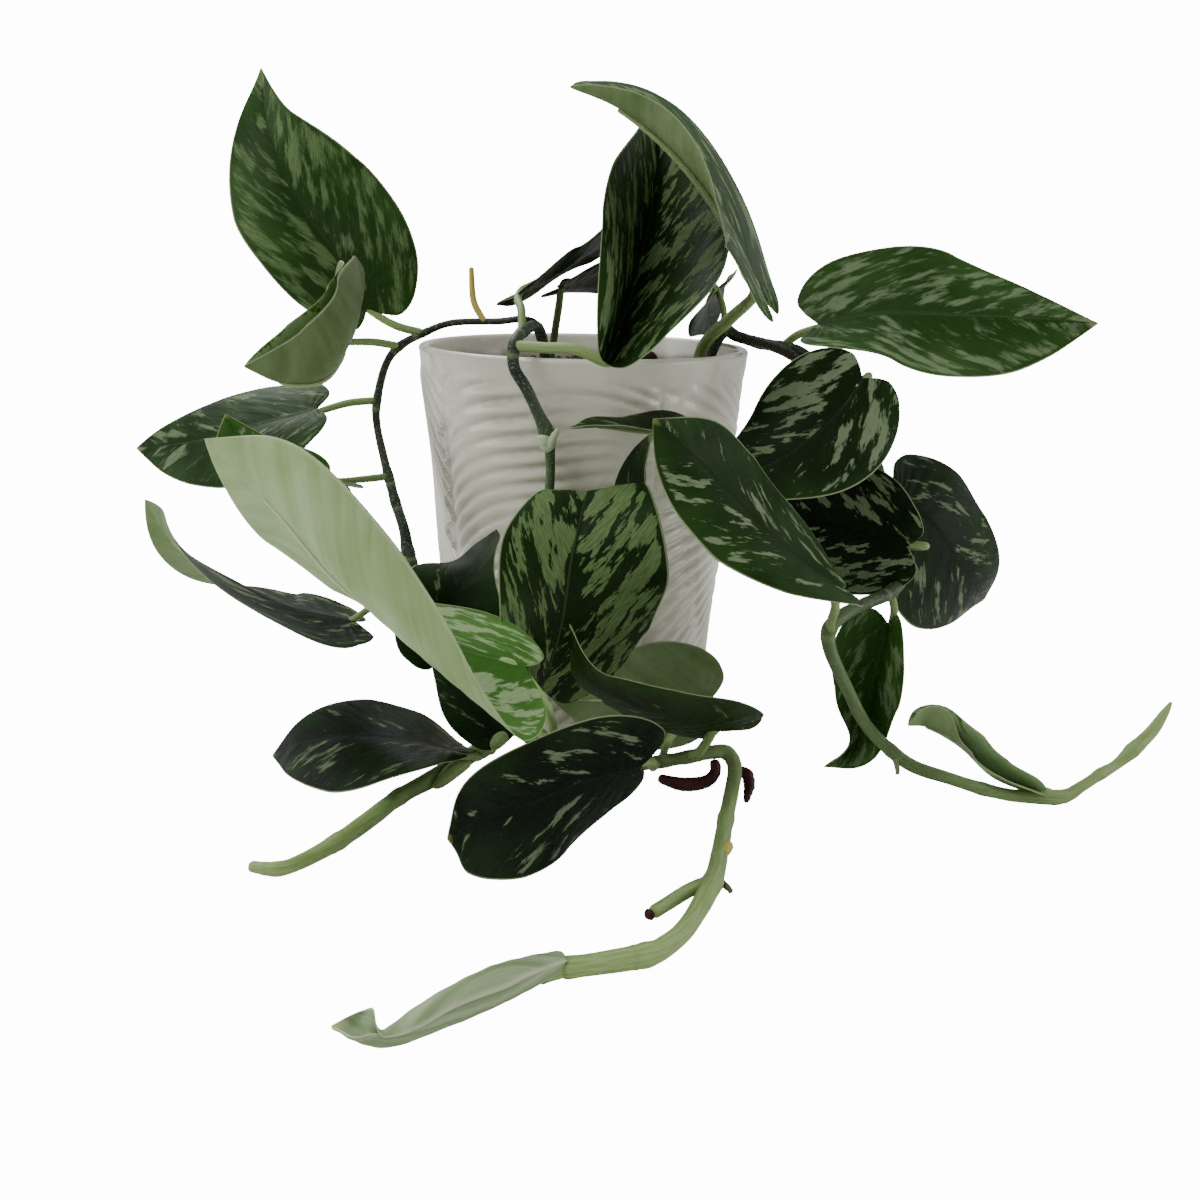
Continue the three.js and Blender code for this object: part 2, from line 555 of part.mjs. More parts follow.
// A point of the bent blade. ray counts from the sinus to the tip and band from the
// midrib to the margin, both from 0 to 1; hand is 1 on the left half and -1 on the right.
// Across the blade, the section leaves the midrib at the fold angle and turns by the curl
// angle on its way to the margin. The young blade keeps its whole turn from base to tip
// and tapers instead, as it is still rolled.
function bladePoint(leaf, hand, ray, band) {
  const margin = leaf.young ? youngCurve : marginCurve;
  const [reach, spread, root] = margin.getPoint(ray).toArray();
  const lean = band * (RAY_LEAN + (1 - RAY_LEAN) * band);
  const station = root + (reach - root) * lean;
  const across = spread * band;
  const side = hand > 0 ? 0 : 1;
  const width = leaf.half[side];
  const [foldBase, foldTip] = leaf.fold[side];
  const inside = THREE.MathUtils.clamp(station, 0, 1);
  const fold = THREE.MathUtils.degToRad(THREE.MathUtils.lerp(foldBase, foldTip, inside));
  const curl = THREE.MathUtils.degToRad(leaf.curl[side] || LEAST_CURL);
  const turn = curl * (leaf.young ? band : across);
  const size = leaf.young ? spread : 1;
  const out = (size * (Math.sin(fold + turn) - Math.sin(fold))) / curl;
  const lift = (size * (Math.cos(fold) - Math.cos(fold + turn))) / curl;
  const { point, up, left } = midribFrame(leaf, station);
  point.addScaledVector(left, hand * out * width);
  point.addScaledVector(up, lift * width);
  return point;
}

const marginCurve = curveThrough(MARGIN);
const youngCurve = curveThrough(YOUNG_MARGIN);

// The blade as a closed sheet: the middle surface is triangulated once, moved half the
// thickness to each side along its normals, and joined round the margin.
function blade(leaf) {
  const rows = [];
  for (let i = 0; i <= BLADE_RAYS; i++) {
    const row = [];
    for (let j = -BLADE_BANDS; j <= BLADE_BANDS; j++) {
      row.push(bladePoint(leaf, j < 0 ? 1 : -1, i / BLADE_RAYS, Math.abs(j) / BLADE_BANDS));
    }
    rows.push(row);
  }
  const positions = [];
  for (let i = 0; i < BLADE_RAYS; i++) {
    for (let j = 0; j < 2 * BLADE_BANDS; j++) {
      const [a, b, c, d] = [rows[i][j], rows[i][j + 1], rows[i + 1][j + 1], rows[i + 1][j]];
      const corners = a.distanceTo(c) < b.distanceTo(d) ? [a, b, c, a, c, d] : [a, b, d, b, c, d];
      for (let k = 0; k < 6; k += 3) {
        const face = new THREE.Triangle(corners[k], corners[k + 1], corners[k + 2]);
        if (face.getArea() > MERGE) positions.push(...face.a, ...face.b, ...face.c);
      }
    }
  }
  const flat = new THREE.BufferGeometry();
  flat.setAttribute('position', new THREE.Float32BufferAttribute(positions, 3));
  const sheet = mergeVertices(flat, MERGE);
  sheet.computeVertexNormals();
  return thicken(sheet, BLADE_THICKNESS);
}

// A sheet with its copy on the other side, joined along the sheet's open edges.
function thicken(sheet, thickness) {
  const place = sheet.attributes.position;
  const normal = sheet.attributes.normal;
  const count = place.count;
  const points = [];
  for (const hand of [1, -1]) {
    for (let i = 0; i < count; i++) {
      const p = new THREE.Vector3().fromBufferAttribute(place, i);
      const n = new THREE.Vector3().fromBufferAttribute(normal, i);
      p.addScaledVector(n, (hand * thickness) / 2);
      points.push(p.x, p.y, p.z);
    }
  }
  const faces = Array.from(sheet.index.array);
  const index = [...faces];
  const edges = new Set();
  for (let i = 0; i < faces.length; i += 3) {
    const corner = faces.slice(i, i + 3);
    index.push(corner[0] + count, corner[2] + count, corner[1] + count);
    for (let k = 0; k < 3; k++) edges.add(`${corner[k]} ${corner[(k + 1) % 3]}`);
  }
  for (const edge of edges) {
    const [a, b] = edge.split(' ').map(Number);
    if (edges.has(`${b} ${a}`)) continue;
    index.push(a, a + count, b + count, a, b + count, b);
  }
  const geometry = new THREE.BufferGeometry();
  geometry.setAttribute('position', new THREE.Float32BufferAttribute(points, 3));
  geometry.setIndex(index);
  return solidOf(geometry);
}

// The stalk from its stem to the heel of the blade, running on as a rib under the midrib.
function stalk(leaf, swell = 0) {
  const points = leaf.stalk.map((p) => [...p, leaf.stalkRadius]);
  const base = midribFrame(leaf, 0);
  const [back, drop] = leaf.heel ?? [HEEL_BACK, HEEL_DROP];
  const heel = base.point
    .addScaledVector(base.along, -back * leaf.length)
    .addScaledVector(base.up, -drop * leaf.length);
  points.push([heel.x, heel.y, heel.z, leaf.stalkRadius]);
  for (const station of RIB_STATIONS) {
    const { point, up } = midribFrame(leaf, station);
    const radius = leaf.stalkRadius * (RIB_START - RIB_TAPER * station);
    point.addScaledVector(up, -BLADE_THICKNESS / 2);
    points.push([point.x, point.y, point.z, radius]);
  }
  return tube(points, STALK_SIDES, STALK_STEP, swell);
}

// A blade on its stalk, clear of the vine that it grows from.
function leafSolid(leaf) {
  let solid = blade(leaf).add(stalk(leaf));
  if (leaf.from !== 'soil') solid = solid.subtract(stemHoles[leaf.from]);
  return solid;
}

// ---------------------------------------------------------------- the plant

const group = new THREE.Group();
group.name = 'satin_pothos';

addPiece(group, 'pot', pot(), glaze());

let bed = soil();
for (const name of Object.keys(vines)) {
  bed = bed.subtract(stemHoles[name]);
  addPiece(group, name, stem(name), stemSkin());
}

for (const entry of leaves) {
  const leaf = {
    ...entry,
    midrib: curveThrough(entry.midrib),
    facing: curveThrough(entry.faces),
  };
  leaf.length = leaf.midrib.getLength();
  addPiece(group, entry.name, leafSolid(leaf), entry.young ? youngLeafSkin() : leafSkin());
  if (leaf.from === 'soil') bed = bed.subtract(stalk(leaf, GAP));
}

addPiece(group, 'soil', bed, soilMix());

export default group;
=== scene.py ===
# %% [markdown]
# # A satin pothos in its glazed pot
#
# A satin pothos is a trailing aroid. Its stems creep out of the pot and root where they
# touch the ground, and each node carries one heart-shaped leaf on a stalk of its own. The
# leaf's upper side is dark green with silver flecks that follow the side veins, where a
# layer of air lies under the skin. Its underside is plain and pale.
#
# The scene is built in the order in which the plant is put together: pot, soil, stems,
# leaves, and then the light and the camera. All sizes are in millimetres until a mesh is
# made, where they become metres.

from functools import partial

import bmesh
import bpy
import numpy as np
from mathutils import Matrix


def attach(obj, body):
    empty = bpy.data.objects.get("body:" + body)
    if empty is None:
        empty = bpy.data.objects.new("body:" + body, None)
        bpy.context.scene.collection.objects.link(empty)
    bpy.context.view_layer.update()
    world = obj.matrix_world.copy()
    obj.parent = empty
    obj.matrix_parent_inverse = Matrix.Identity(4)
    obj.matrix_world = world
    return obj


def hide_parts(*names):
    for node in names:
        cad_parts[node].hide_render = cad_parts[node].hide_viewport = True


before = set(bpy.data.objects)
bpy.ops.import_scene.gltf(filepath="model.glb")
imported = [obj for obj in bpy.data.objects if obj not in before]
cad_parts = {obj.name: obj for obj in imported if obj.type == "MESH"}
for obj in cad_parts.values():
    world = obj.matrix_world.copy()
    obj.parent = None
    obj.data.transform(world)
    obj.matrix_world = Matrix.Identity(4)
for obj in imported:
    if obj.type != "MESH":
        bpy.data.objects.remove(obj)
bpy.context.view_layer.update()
MM = 0.001

# %% [markdown]
# ## Tools: grids, meshes and colours
#
# Every surface here is a grid of points with a formula behind it, so one function can turn
# any grid into faces. The points of a grid's last row may all lie in one place, as at a
# pole; such points are merged, and the shell closes there.

# %% Faces of a grid
def grid_faces(rows, columns, wrap=False, flip=False):
    """Corner numbers of each cell of a grid: a cell joins two columns of two rows.
    With wrap the last column joins the first, and flip turns the cells over."""
    i, j = np.meshgrid(np.arange(rows - 1), np.arange(columns - (not wrap)), indexing="ij")
    right = (j + 1) % columns
    cells = [i * columns + j, i * columns + right, (i + 1) * columns + right, (i + 1) * columns + j]
    faces = np.stack(cells, -1).reshape(-1, 4)
    return faces[:, ::-1] if flip else faces


print("a 3 by 3 grid has", len(grid_faces(3, 3)), "faces")

# %% A mesh from its surfaces
def surface(points, faces, skin=0, veins=None, place=None, **values):
    """One surface of a piece: points (rows x columns x 3, mm), faces, the number of its
    material, two UV maps (veins in cm, place from 0 to 1) and named values for each point."""
    points = np.asarray(points, float).reshape(-1, 3)
    flat = np.zeros((len(points), 2))
    veins = flat if veins is None else np.stack(np.broadcast_arrays(*veins), -1).reshape(-1, 2)
    place = flat if place is None else np.stack(np.broadcast_arrays(*place), -1).reshape(-1, 2)
    return dict(points=points, faces=faces, skin=skin, veins=veins, place=place, values=values)


def joined_mesh(name, surfaces):
    """Joins surfaces into one smooth mesh in metres, with their maps and values. A value
    that only some of the surfaces have is 0 on the others."""
    counts = np.cumsum([0] + [len(s["points"]) for s in surfaces])
    points = np.concatenate([s["points"] for s in surfaces]) * MM
    faces = np.concatenate([s["faces"] + n for s, n in zip(surfaces, counts)])
    mesh = bpy.data.meshes.new(name)
    mesh.from_pydata(points, [], faces)
    for label in ("veins", "place"):
        corners = np.concatenate([s[label] for s in surfaces])[faces.ravel()]
        mesh.uv_layers.new(name=label).data.foreach_set("uv", corners.ravel())
    for label in sorted({k for s in surfaces for k in s["values"]}):
        columns = [np.broadcast_to(np.ravel(s["values"].get(label, 0.0)), len(s["points"]))
                   for s in surfaces]
        layer = mesh.attributes.new(label, "FLOAT", "POINT")
        layer.data.foreach_set("value", np.concatenate(columns).astype(float))
    skins = np.concatenate([np.full(len(s["faces"]), s["skin"]) for s in surfaces])
    mesh.polygons.foreach_set("material_index", skins)
    mesh.polygons.foreach_set("use_smooth", np.ones(len(faces), bool))
    return mesh


print("a surface of", len(surface(np.zeros((3, 3, 3)), grid_faces(3, 3))["points"]), "points")

# %% A piece that stands for a node
MERGE = 2e-6                    # points closer than this, in metres, become one


def make_piece(name, surfaces, materials, node):
    """Makes the joined mesh with the materials it is given, merges its points that coincide,
    and lets the piece stand for the node."""
    mesh = joined_mesh(name, surfaces)
    for material in materials:
        mesh.materials.append(material)
    form = bmesh.new()
    form.from_mesh(mesh)
    bmesh.ops.remove_doubles(form, verts=form.verts, dist=MERGE)
    form.to_mesh(mesh)
    form.free()
    piece = bpy.data.objects.new(name, mesh)
    bpy.context.scene.collection.objects.link(piece)
    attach(piece, "root")
    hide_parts(node)
    return piece


print("pieces are made in metres, at the origin")

# %% Colours
def linear(code):
    """A colour such as 8aa06f, as read off a screen, turned to light: each channel c is
    c/12.92 below 0.04045, and ((c + 0.055)/1.055) to the power 2.4 above it."""
    c = np.array([int(code[i:i + 2], 16) for i in (0, 2, 4)]) / 255
    light = np.where(c <= 0.04045, c / 12.92, ((c + 0.055) / 1.055) ** 2.4)
    return (*light, 1.0)


print("silver green in light:", np.round(linear("8aa27c"), 3))

# %% [markdown]
# ### Shader nodes
#
# A shader is a sum worked out by nodes, and one function adds any of them. It gives back
# the node's output, which can go straight into the next node, so a colour reads like a
# formula: Math nodes add and multiply, MapRange turns the stretch between two limits into
# 0 to 1, and Mix with a share blends two colours. A cloud pattern is a noise of scale 1 on
# coordinates that are divided by the size of its features.

# %% One function for every shader node
MODES = {"Math": "operation", "VectorMath": "operation",
         "MapRange": "interpolation_type", "Mix": "data_type"}


def add_node(tree, kind, *values, output=None, **settings):
    """Adds a shader node and gives back its first output, or the one that is named. kind
    is its type and, after a dot, its mode, as in Math.MULTIPLY. values go to the inputs in
    use in their order, and a setting such as in_Roughness goes to the input of that name:
    an output is linked, a number is set, and a colour code is turned to light. Other
    settings are the node's own."""
    kind, _, mode = kind.partition(".")
    node = tree.nodes.new("ShaderNode" + kind)
    if mode:
        setattr(node, MODES[kind], mode)
    for key, value in settings.items():
        if not key.startswith("in_"):
            setattr(node, key, value)
    inputs = list(zip([socket for socket in node.inputs if socket.enabled], values))
    inputs += [(node.inputs[key[3:].replace("_", " ")], value)
               for key, value in settings.items() if key.startswith("in_")]
    for socket, value in inputs:
        if isinstance(value, bpy.types.NodeSocket):
            tree.links.new(socket, value)
        else:
            socket.default_value = linear(value) if isinstance(value, str) else value
    return node.outputs[output] if output else next((s for s in node.outputs if s.enabled), None)


def new_material(name):
    """An empty material, and the function that adds nodes to it."""
    material = bpy.data.materials.new(name)
    material.use_nodes = True
    material.node_tree.nodes.clear()
    return material, partial(add_node, material.node_tree)


print("modes are set for", ", ".join(MODES))

# %% [markdown]
# ## The plant's plan
#
# The stems and leaves repeat the sizes of the model's solids. A stem is a list of points
# with a radius, from its root to its end. A leaf has the points of its stalk, five points
# of its midrib, the directions its upper side looks in, the widths of its two halves, the
# angle at which each half leaves the midrib at the base and the tip, and how far it then
# curls. look holds five numbers for its colours, which the leaf materials explain.

# %% Stems
VINES = {
    "vine_left": [
        [-14, -14, 128, 2], [-14, -14, 140, 2], [-17, -14, 156, 1.8], [-23, -12, 160, 1.4],
        [-33, -10, 159, 1.3], [-51, -9, 158, 1.3], [-62, -11, 154, 1.4],
        [-71, -14, 149, 1.6], [-76, -17, 142, 1.5], [-79, -21, 129, 1.6],
        [-79, -23, 120, 1.5], [-76, -27, 108, 1.6], [-74, -29, 101, 1.8],
        [-71, -33, 92, 1.9], [-67, -38, 82, 2.1], [-65, -42, 74, 2.4], [-60, -48, 61, 2.3],
        [-48, -54, 47, 2.3], [-35, -60, 30, 2.3], [-21, -67, 13, 2.3], [-6, -73, 4.5, 2.3],
        [8, -79, 4, 2.2], [17, -84, 5.7, 2.2], [28.6, -91, 11.1, 2.2],
        [41, -93, 14.6, 2.3], [49.4, -92, 16.2, 2.5], [54.8, -91, 15.6, 2.5],
        [57.4, -95, 12, 2.6], [55.8, -103, 6.8, 2.6], [52.4, -119, 4, 2.7],
        [48.3, -141.9, 3.8, 2.8], [44.2, -161.2, 3.8, 3.1], [35.4, -184.6, 3.6, 2.9],
        [28.3, -195.8, 3.8, 3], [22.7, -200.4, 3.9, 3.2], [10.3, -204.5, 3.8, 3.1],
        [-1.2, -207.2, 3.6, 2.6],
    ],
    "vine_front": [
        [-12, -40, 128, 2], [-12, -40, 140, 2], [-15, -52, 159, 2], [-20, -66, 159, 2],
        [-22, -75, 155, 2], [-22, -76, 148, 2], [-18, -75, 141, 2], [-14, -72, 132, 2.1],
        [-11, -71, 125, 2.7], [-10, -70, 118, 1.8], [-10, -69, 107, 1.7],
        [-12, -70, 87, 1.8], [-13, -73, 66, 1.9], [-15, -77, 44, 2.1], [-18, -82, 29, 2.5],
        [-26, -88, 18.5, 2.9], [-40.7, -78, 5.2, 3.2], [-50.3, -92.6, 3.9, 3.2],
        [-59.7, -107.1, 3.6, 2.9], [-66.5, -123.8, 3.6, 3], [-73.8, -139.4, 3.4, 2.8],
        [-82.8, -152.3, 3, 2.4], [-89, -156.9, 3, 2.2], [-98, -155.4, 3, 1.8],
    ],
    "vine_right": [
        [48, -4, 128, 2], [48, -4, 140, 2], [54, -6, 156, 2.2], [60, -10, 155, 2.2],
        [68, -14, 153, 2.1], [76, -18, 152, 2.2], [85, -22, 149, 2.2], [97, -28, 135, 2.2],
        [109, -34, 116, 2.2], [119, -42, 91, 2.3], [122, -50, 73, 2.4],
        [116, -58, 67, 2.4], [105, -67, 65, 2.4], [96, -73.5, 62.5, 2.6],
        [90.5, -78, 58.5, 2.6], [91, -80, 51, 2.4], [98, -80, 37, 2.3],
        [106, -80, 23, 2.3], [116, -80, 13, 2.4], [125.7, -79, 6.2, 2.5],
        [137.4, -81.9, 3.4, 2.3], [147.9, -89.8, 3, 2.3], [158.8, -95, 3, 2.3],
        [174, -95.1, 3.1, 2.5], [182.3, -92, 6, 2], [190, -88, 9, 2], [197, -84, 11, 1.9],
        [204, -80, 15, 2.5], [212, -76, 21, 2.3], [217, -73, 27, 1.6], [220, -71, 31, 0.5],
    ],
}
print("stems:", {name: len(points) for name, points in VINES.items()})

# %% Leaves
# half, fold and curl give the left half first, and look is tone, silver, clear, pale, and the
# grey of the flecks. Tone and pale are partly each leaf's own colour and partly painted light
# and shade, and the grey of the flecks is a painted reflection of the sky.
LEAVES = {
    "leaf_01": dict(
        stalk=[[-62, -11, 154], [-73, -13, 157]], thick=1.6,
        midrib=[[-83, -14, 163], [-96, -7, 184], [-111, 0, 204], [-122, 7, 226], [-126, 14, 251]],
        faces=[[0.2, -0.6, 0.8], [-0.6, -0.6, 0.5]], half=(29, 30),
        fold=[[14, 17], [12, 16]], curl=(-9, 3), look=(0.46, 0.72, 0.15, 0.6, 0.25)),
    "leaf_02": dict(
        stalk=[[-71, -14, 149], [-80, -21, 151]], thick=1.5,
        midrib=[[-89, -30, 153], [-86, -50, 148], [-88, -71, 142], [-96, -91, 143], [-103, -110, 150]],
        faces=[[0.1, -0.7, 0.7], [-0.1, -0.2, 1]], half=(38, 35),
        fold=[[50, 60], [75, 75]], curl=(58, 40), look=(0.95, 1.15, 0.6, 0.63, 0.9)),
    "leaf_03": dict(
        stalk=[[-79, -21, 129], [-90, -24, 128]], thick=1.5,
        midrib=[[-101, -29, 126], [-120, -29, 121], [-139, -27, 115], [-157, -24, 111], [-175, -18, 108]],
        faces=[[-0.6, -0.4, 0.7], [-0.8, -0.5, 0.3]], half=(26, 23),
        fold=[[11, 0], [12, 3]], curl=(-45, -19), look=(0.38, 0.48, 0.4, 0.5, 0.9)),
    "leaf_04": dict(
        stalk=[[-18, -82, 29], [-13, -98, 27], [-6, -129, 36], [-7, -149, 55]], thick=1.6,
        midrib=[[-13, -152, 69], [-40, -159, 80], [-62, -165, 96], [-81, -163, 117], [-103, -151, 134]],
        faces=[[0.8, -0.1, 0.6], [0.8, 0.5, 0.4], [0.7, 0.7, -0.3]], half=(42, 38),
        fold=[[-37, 1], [-19, 8]], curl=(78, 25), look=(0.88, 0.6, 0.7, 0.96, 0.8)),
    "leaf_05": dict(
        stalk=[[-74, -29, 101], [-81, -35, 101]], thick=1.4,
        midrib=[[-88, -42, 100], [-102, -50, 104], [-111, -62, 111], [-116, -75, 121], [-117, -87, 132]],
        faces=[[0.4, -0.1, -0.9], [0.3, -0.7, -0.7]], half=(19, 19),
        fold=[[13, 14], [15, 16]], curl=(-4, -15), look=(0.7, 0.3, 0.6, 0.36, 0.5)),
    "leaf_06": dict(
        stalk=[[-65, -42, 74], [-70, -54, 63]], thick=1.5,
        midrib=[[-83, -61, 52.5], [-103, -68, 59], [-124, -68, 69], [-145, -63, 80], [-160, -52, 95]],
        faces=[[0.7, 0.2, 0.7], [0.7, 0.3, 0.7], [0.1, 0.95, 0.1]], half=(29, 28),
        fold=[[-11, -15], [-14, -17]], curl=(18, 30), look=(0.15, 0.5, 0.65, 0.64, 0.9)),
    "leaf_07": dict(
        stalk=[[-15, -77, 44], [-15, -86, 37], [-13, -95, 36]], thick=1.6,
        midrib=[[-11, -100, 42], [-4, -108, 66], [0, -104, 91], [4, -86, 108], [2, -66, 91]],
        faces=[[0.6, -0.6, -0.5], [0.3, -0.3, 0.9], [-0.3, 0.2, 1]], half=(27, 35),
        fold=[[4, -3], [23, 12]], curl=(-1, -16), look=(0.3, 0.64, 0.9, 0.6, 0.15)),
    "leaf_08": dict(
        stalk=[[-22, -75, 155], [-11.5, -80, 155], [-1, -84, 155]], thick=1.9,
        midrib=[[9, -88, 151], [16, -63, 169], [22, -41, 191], [26, -22, 216], [21, -7, 243]],
        faces=[[-0.2, -0.9, 0.3], [-0.1, -0.8, 0.6]], half=(40, 35),
        fold=[[95, 76], [41, 14]], curl=(-17, -19), look=(0.32, 0.56, 0.8, 0.6, 0.35)),
    "leaf_09": dict(
        stalk=[[44, -14, 128], [44, -14, 139], [46, -20, 152.5], [54, -37, 163.5]], thick=2.3,
        midrib=[[62, -62, 172], [48, -61, 198], [31, -74, 216], [13, -94, 227], [-3, -118, 231]],
        faces=[[0.9, -0.2, 0.3], [0.7, -0.2, 0.7], [0.2, 0.6, 0.8]], half=(33, 33),
        fold=[[8, 21], [9, 23]], curl=(-21, -11), look=(0.5, 0.5, 0.7, 0.74, 0.8)),
    "leaf_10": dict(
        stalk=[[-20, -66, 159], [-21, -56, 166], [-23, -45, 169]], thick=1.5,
        midrib=[[-23, -34, 170], [-9, -23, 178], [6, -16, 188], [20, -8, 198], [34, -1, 209]],
        faces=[[0.8, 0.4, -0.5], [0.9, 0, -0.3]], half=(23, 23),
        fold=[[-8, -10], [-10, -9]], curl=(-11, 38), look=(0.25, 0.3, 0.6, 0.3, 0.5)),
    "leaf_11": dict(
        stalk=[[76, -18, 152], [82, -19, 157]], thick=1.6,
        midrib=[[89, -20, 161], [114, -24, 165], [139, -29, 165], [164, -31, 165], [190, -32, 164]],
        faces=[[-0.6, -0.5, 0.6], [-0.5, -0.7, 0.5]], half=(33, 35),
        fold=[[9, -22], [12, -24]], curl=(2, 40), look=(0.5, 0.7, 0.2, 0.6, 1)),
    "leaf_12": dict(
        stalk=[[97, -28, 135], [101, -38, 140], [103, -50, 145]], thick=1.5,
        midrib=[[99, -59, 145], [88, -65, 132], [75, -70, 121], [59, -74, 113], [41, -78, 107]],
        faces=[[0.4, -0.5, 0.8], [0.3, -0.3, 0.9]], half=(24, 25),
        fold=[[-1, 9], [1, 9]], curl=(-20, -5), look=(0.25, 0.5, 0.75, 0.5, 1)),
    "leaf_13": dict(
        stalk=[[91, -78, 58], [89, -87, 64], [88, -97, 73]], thick=1.6,
        midrib=[[86, -105, 82], [68, -108, 96], [52, -111, 111], [37, -116, 126], [23, -128, 139]],
        faces=[[0.7, 0.1, 0.7], [0.8, -0.4, -0.5]], half=(28, 24),
        fold=[[13, -17], [12, -1]], curl=(-36, 20), look=(0.36, 0.34, 0.8, 0.6, 1)),
    "leaf_14": dict(
        stalk=[[120.5, -46, 82], [125, -52, 83], [127, -59, 85]], thick=1.5,
        midrib=[[120, -60, 85], [105, -50, 88], [91, -38, 90], [78, -25, 90], [66, -10, 89]],
        faces=[[-0.9, -0.4, -0.2], [-0.7, -0.3, 0.6]], half=(25, 25),
        fold=[[7, 10], [6, 6]], curl=(0, -24), look=(0.15, 0.46, 0.9, 0.5, 0.9)),
    "leaf_15": dict(
        stalk=[[112, -36, 109], [117, -31, 104]], thick=1.6,
        midrib=[[122, -28, 98], [140, -25, 83], [154, -16, 65], [167, -1, 52], [177, 20, 42]],
        faces=[[0.7, -0.7, -0.1], [0.7, -0.5, -0.6]], half=(29, 33),
        fold=[[-2, 1], [1, 1]], curl=(-29, -8), look=(0.2, 0.42, 0.6, 0.5, 0.9)),
    "leaf_16": dict(
        stalk=[[116, -58, 67], [118, -58, 60]], thick=1.5,
        midrib=[[117, -56, 54], [114, -59, 39], [110, -64, 25], [105, -71, 12], [93, -74, 3]],
        faces=[[-0.6, -0.4, 0.7], [-0.2, -0.9, -0.3]], half=(19, 21),
        fold=[[30, 39], [41, 60]], curl=(0, 29), look=(0.6, 0.6, 0.25, 0.5, 0.8)),
    "leaf_17": dict(
        stalk=[[172, -95, 3], [169, -94.5, 5]], thick=1.4,
        midrib=[[164.5, -92.6, 4.2], [152, -86.4, 7.5], [140.9, -82.2, 16.4], [128.4, -82.1, 23.3],
                [117.8, -91.9, 28]],
        faces=[[0.3, -0.8, 0.5], [-0.7, 0.1, 0.6]], half=(16, 16),
        fold=[[67, 54], [90, 90]], curl=(0, 0), look=(1, 1.2, 0.5, 0.8, 1)),
    "leaf_18": dict(
        stalk=[[103, -31, 126], [88, -40, 110], [62, -52, 104]], thick=1.3,
        midrib=[[42, -72, 124], [31, -74, 127], [19, -76, 128], [8, -78, 129], [-3, -83, 129]],
        faces=[[0.7, -0.2, 0.7], [0.4, 0.2, 0.9]], half=(14, 14),
        fold=[[15, 18], [15, 15]], curl=(-4, -12), look=(0.3, 0.3, 0.7, 0.5, 0.6)),
    "leaf_19": dict(
        stalk=[[-16.5, -79, 36], [-26, -84, 42], [-38, -89, 46]], thick=1.4,
        midrib=[[-45, -89, 49], [-44, -90, 63], [-39, -87, 75], [-33, -79, 84], [-29, -67, 90]],
        faces=[[0.3, -0.7, -0.6], [-0.4, 0.3, 0.9]], half=(19, 18),
        fold=[[10, 9], [10, 9]], curl=(-7, -7), look=(0.2, 0.08, 0.6, 0.5, 0.5)),
    "leaf_20": dict(
        stalk=[[-33, -82, 11], [-29, -88, 13]], thick=1.2,
        midrib=[[-27, -89, 19], [-33, -89, 27], [-39, -87, 34], [-45, -83, 40], [-52, -77.5, 45.5]],
        faces=[[-0.3, -0.9, 0.2], [-0.2, -0.9, 0.3]], half=(11, 11),
        fold=[[6, 6], [6, 6]], curl=(5, 5), look=(0.2, 0.2, 0.5, 0.42, 0.5)),
    "leaf_21": dict(
        stalk=[[-41, -76, 4], [-34, -84, 9]], thick=1.5,
        midrib=[[-41, -95, 15], [-61, -92, 19], [-80, -90, 19], [-98, -85, 14], [-112, -76, 4]],
        faces=[[-0.4, 0.3, 0.9], [-0.3, -0.7, 0.7]], half=(28, 24),
        fold=[[17, 4], [4, 1]], curl=(-49, -8), look=(0, 0.34, 0.35, 0.5, 1)),
    "leaf_22": dict(
        stalk=[[30, -92, 11.5], [28, -101, 14], [27, -110, 20]], thick=1.6,
        midrib=[[23, -126, 26], [5, -144, 29], [-12, -161, 29], [-27, -180, 32], [-30, -203, 39]],
        faces=[[0.6, -0.7, -0.3], [0.8, -0.5, 0.4]], half=(27, 23),
        fold=[[-12, -2], [-4, 2]], curl=(8, 18), look=(0, 0.36, 0.72, 0.5, 1)),
    "leaf_23": dict(
        stalk=[[41, -93, 14.6], [45, -97, 19]], thick=1.9,
        midrib=[[51, -98, 27], [38, -110, 36], [21, -119, 44], [5, -123, 55], [-1, -123, 73]],
        faces=[[-0.1, -1, -0.3], [0.2, -0.7, -0.7], [-0.9, -0.4, 0.3]], half=(24, 25),
        fold=[[-17, -26], [18, 13]], curl=(-14, -3), look=(0.35, 0.15, 0.6, 0.5, 0.5)),
    "leaf_24": dict(
        stalk=[[31, -92, 12], [36, -83, 19], [46, -71, 23]], thick=1.4,
        midrib=[[51.7, -60, 24.3], [35.6, -64, 24.7], [18.5, -69, 26.3], [3.8, -74, 28], [-8, -79, 29.6]],
        faces=[[-0.5, 0.9, 0.1], [-0.5, 0.9, 0.1]], half=(23, 23),
        fold=[[11, 10], [11, 10]], curl=(-7, -6), look=(0.5, 0.3, 0.6, 0.68, 0.5)),
    "leaf_25": dict(
        stalk=[[-12, -70, 87], [0, -73, 80], [12, -76, 74]], thick=1.2,
        midrib=[[21.6, -73.5, 80.3], [21, -74, 92.5], [21, -75, 104.5], [22.6, -82, 117.9],
                [24.8, -94, 129.9]],
        faces=[[-0.6, -0.7, 0.4], [-0.7, -0.5, 0.5]], half=(12, 12),
        fold=[[12, 11], [12, 12]], curl=(-3, -7), look=(0.3, 0.3, 0.7, 0.5, 0.5)),
    "leaf_26": dict(
        stalk=[[-14, 4, 128], [-14, 4, 139], [-12, 0, 152], [-10, -6, 164]], thick=1.5,
        midrib=[[-9, -10, 172], [6, 0, 176], [20, 10, 179], [33, 22, 182], [46, 33, 186]],
        faces=[[0.7, 0.1, -0.7], [0.9, -0.2, -0.5]], half=(20, 20),
        fold=[[2, 3], [1, 4]], curl=(-8, -18), look=(0, 0.05, 0.5, 0, 0.5)),
    "leaf_27": dict(
        stalk=[[54, -6, 156], [54, -9, 165]], thick=1.2,
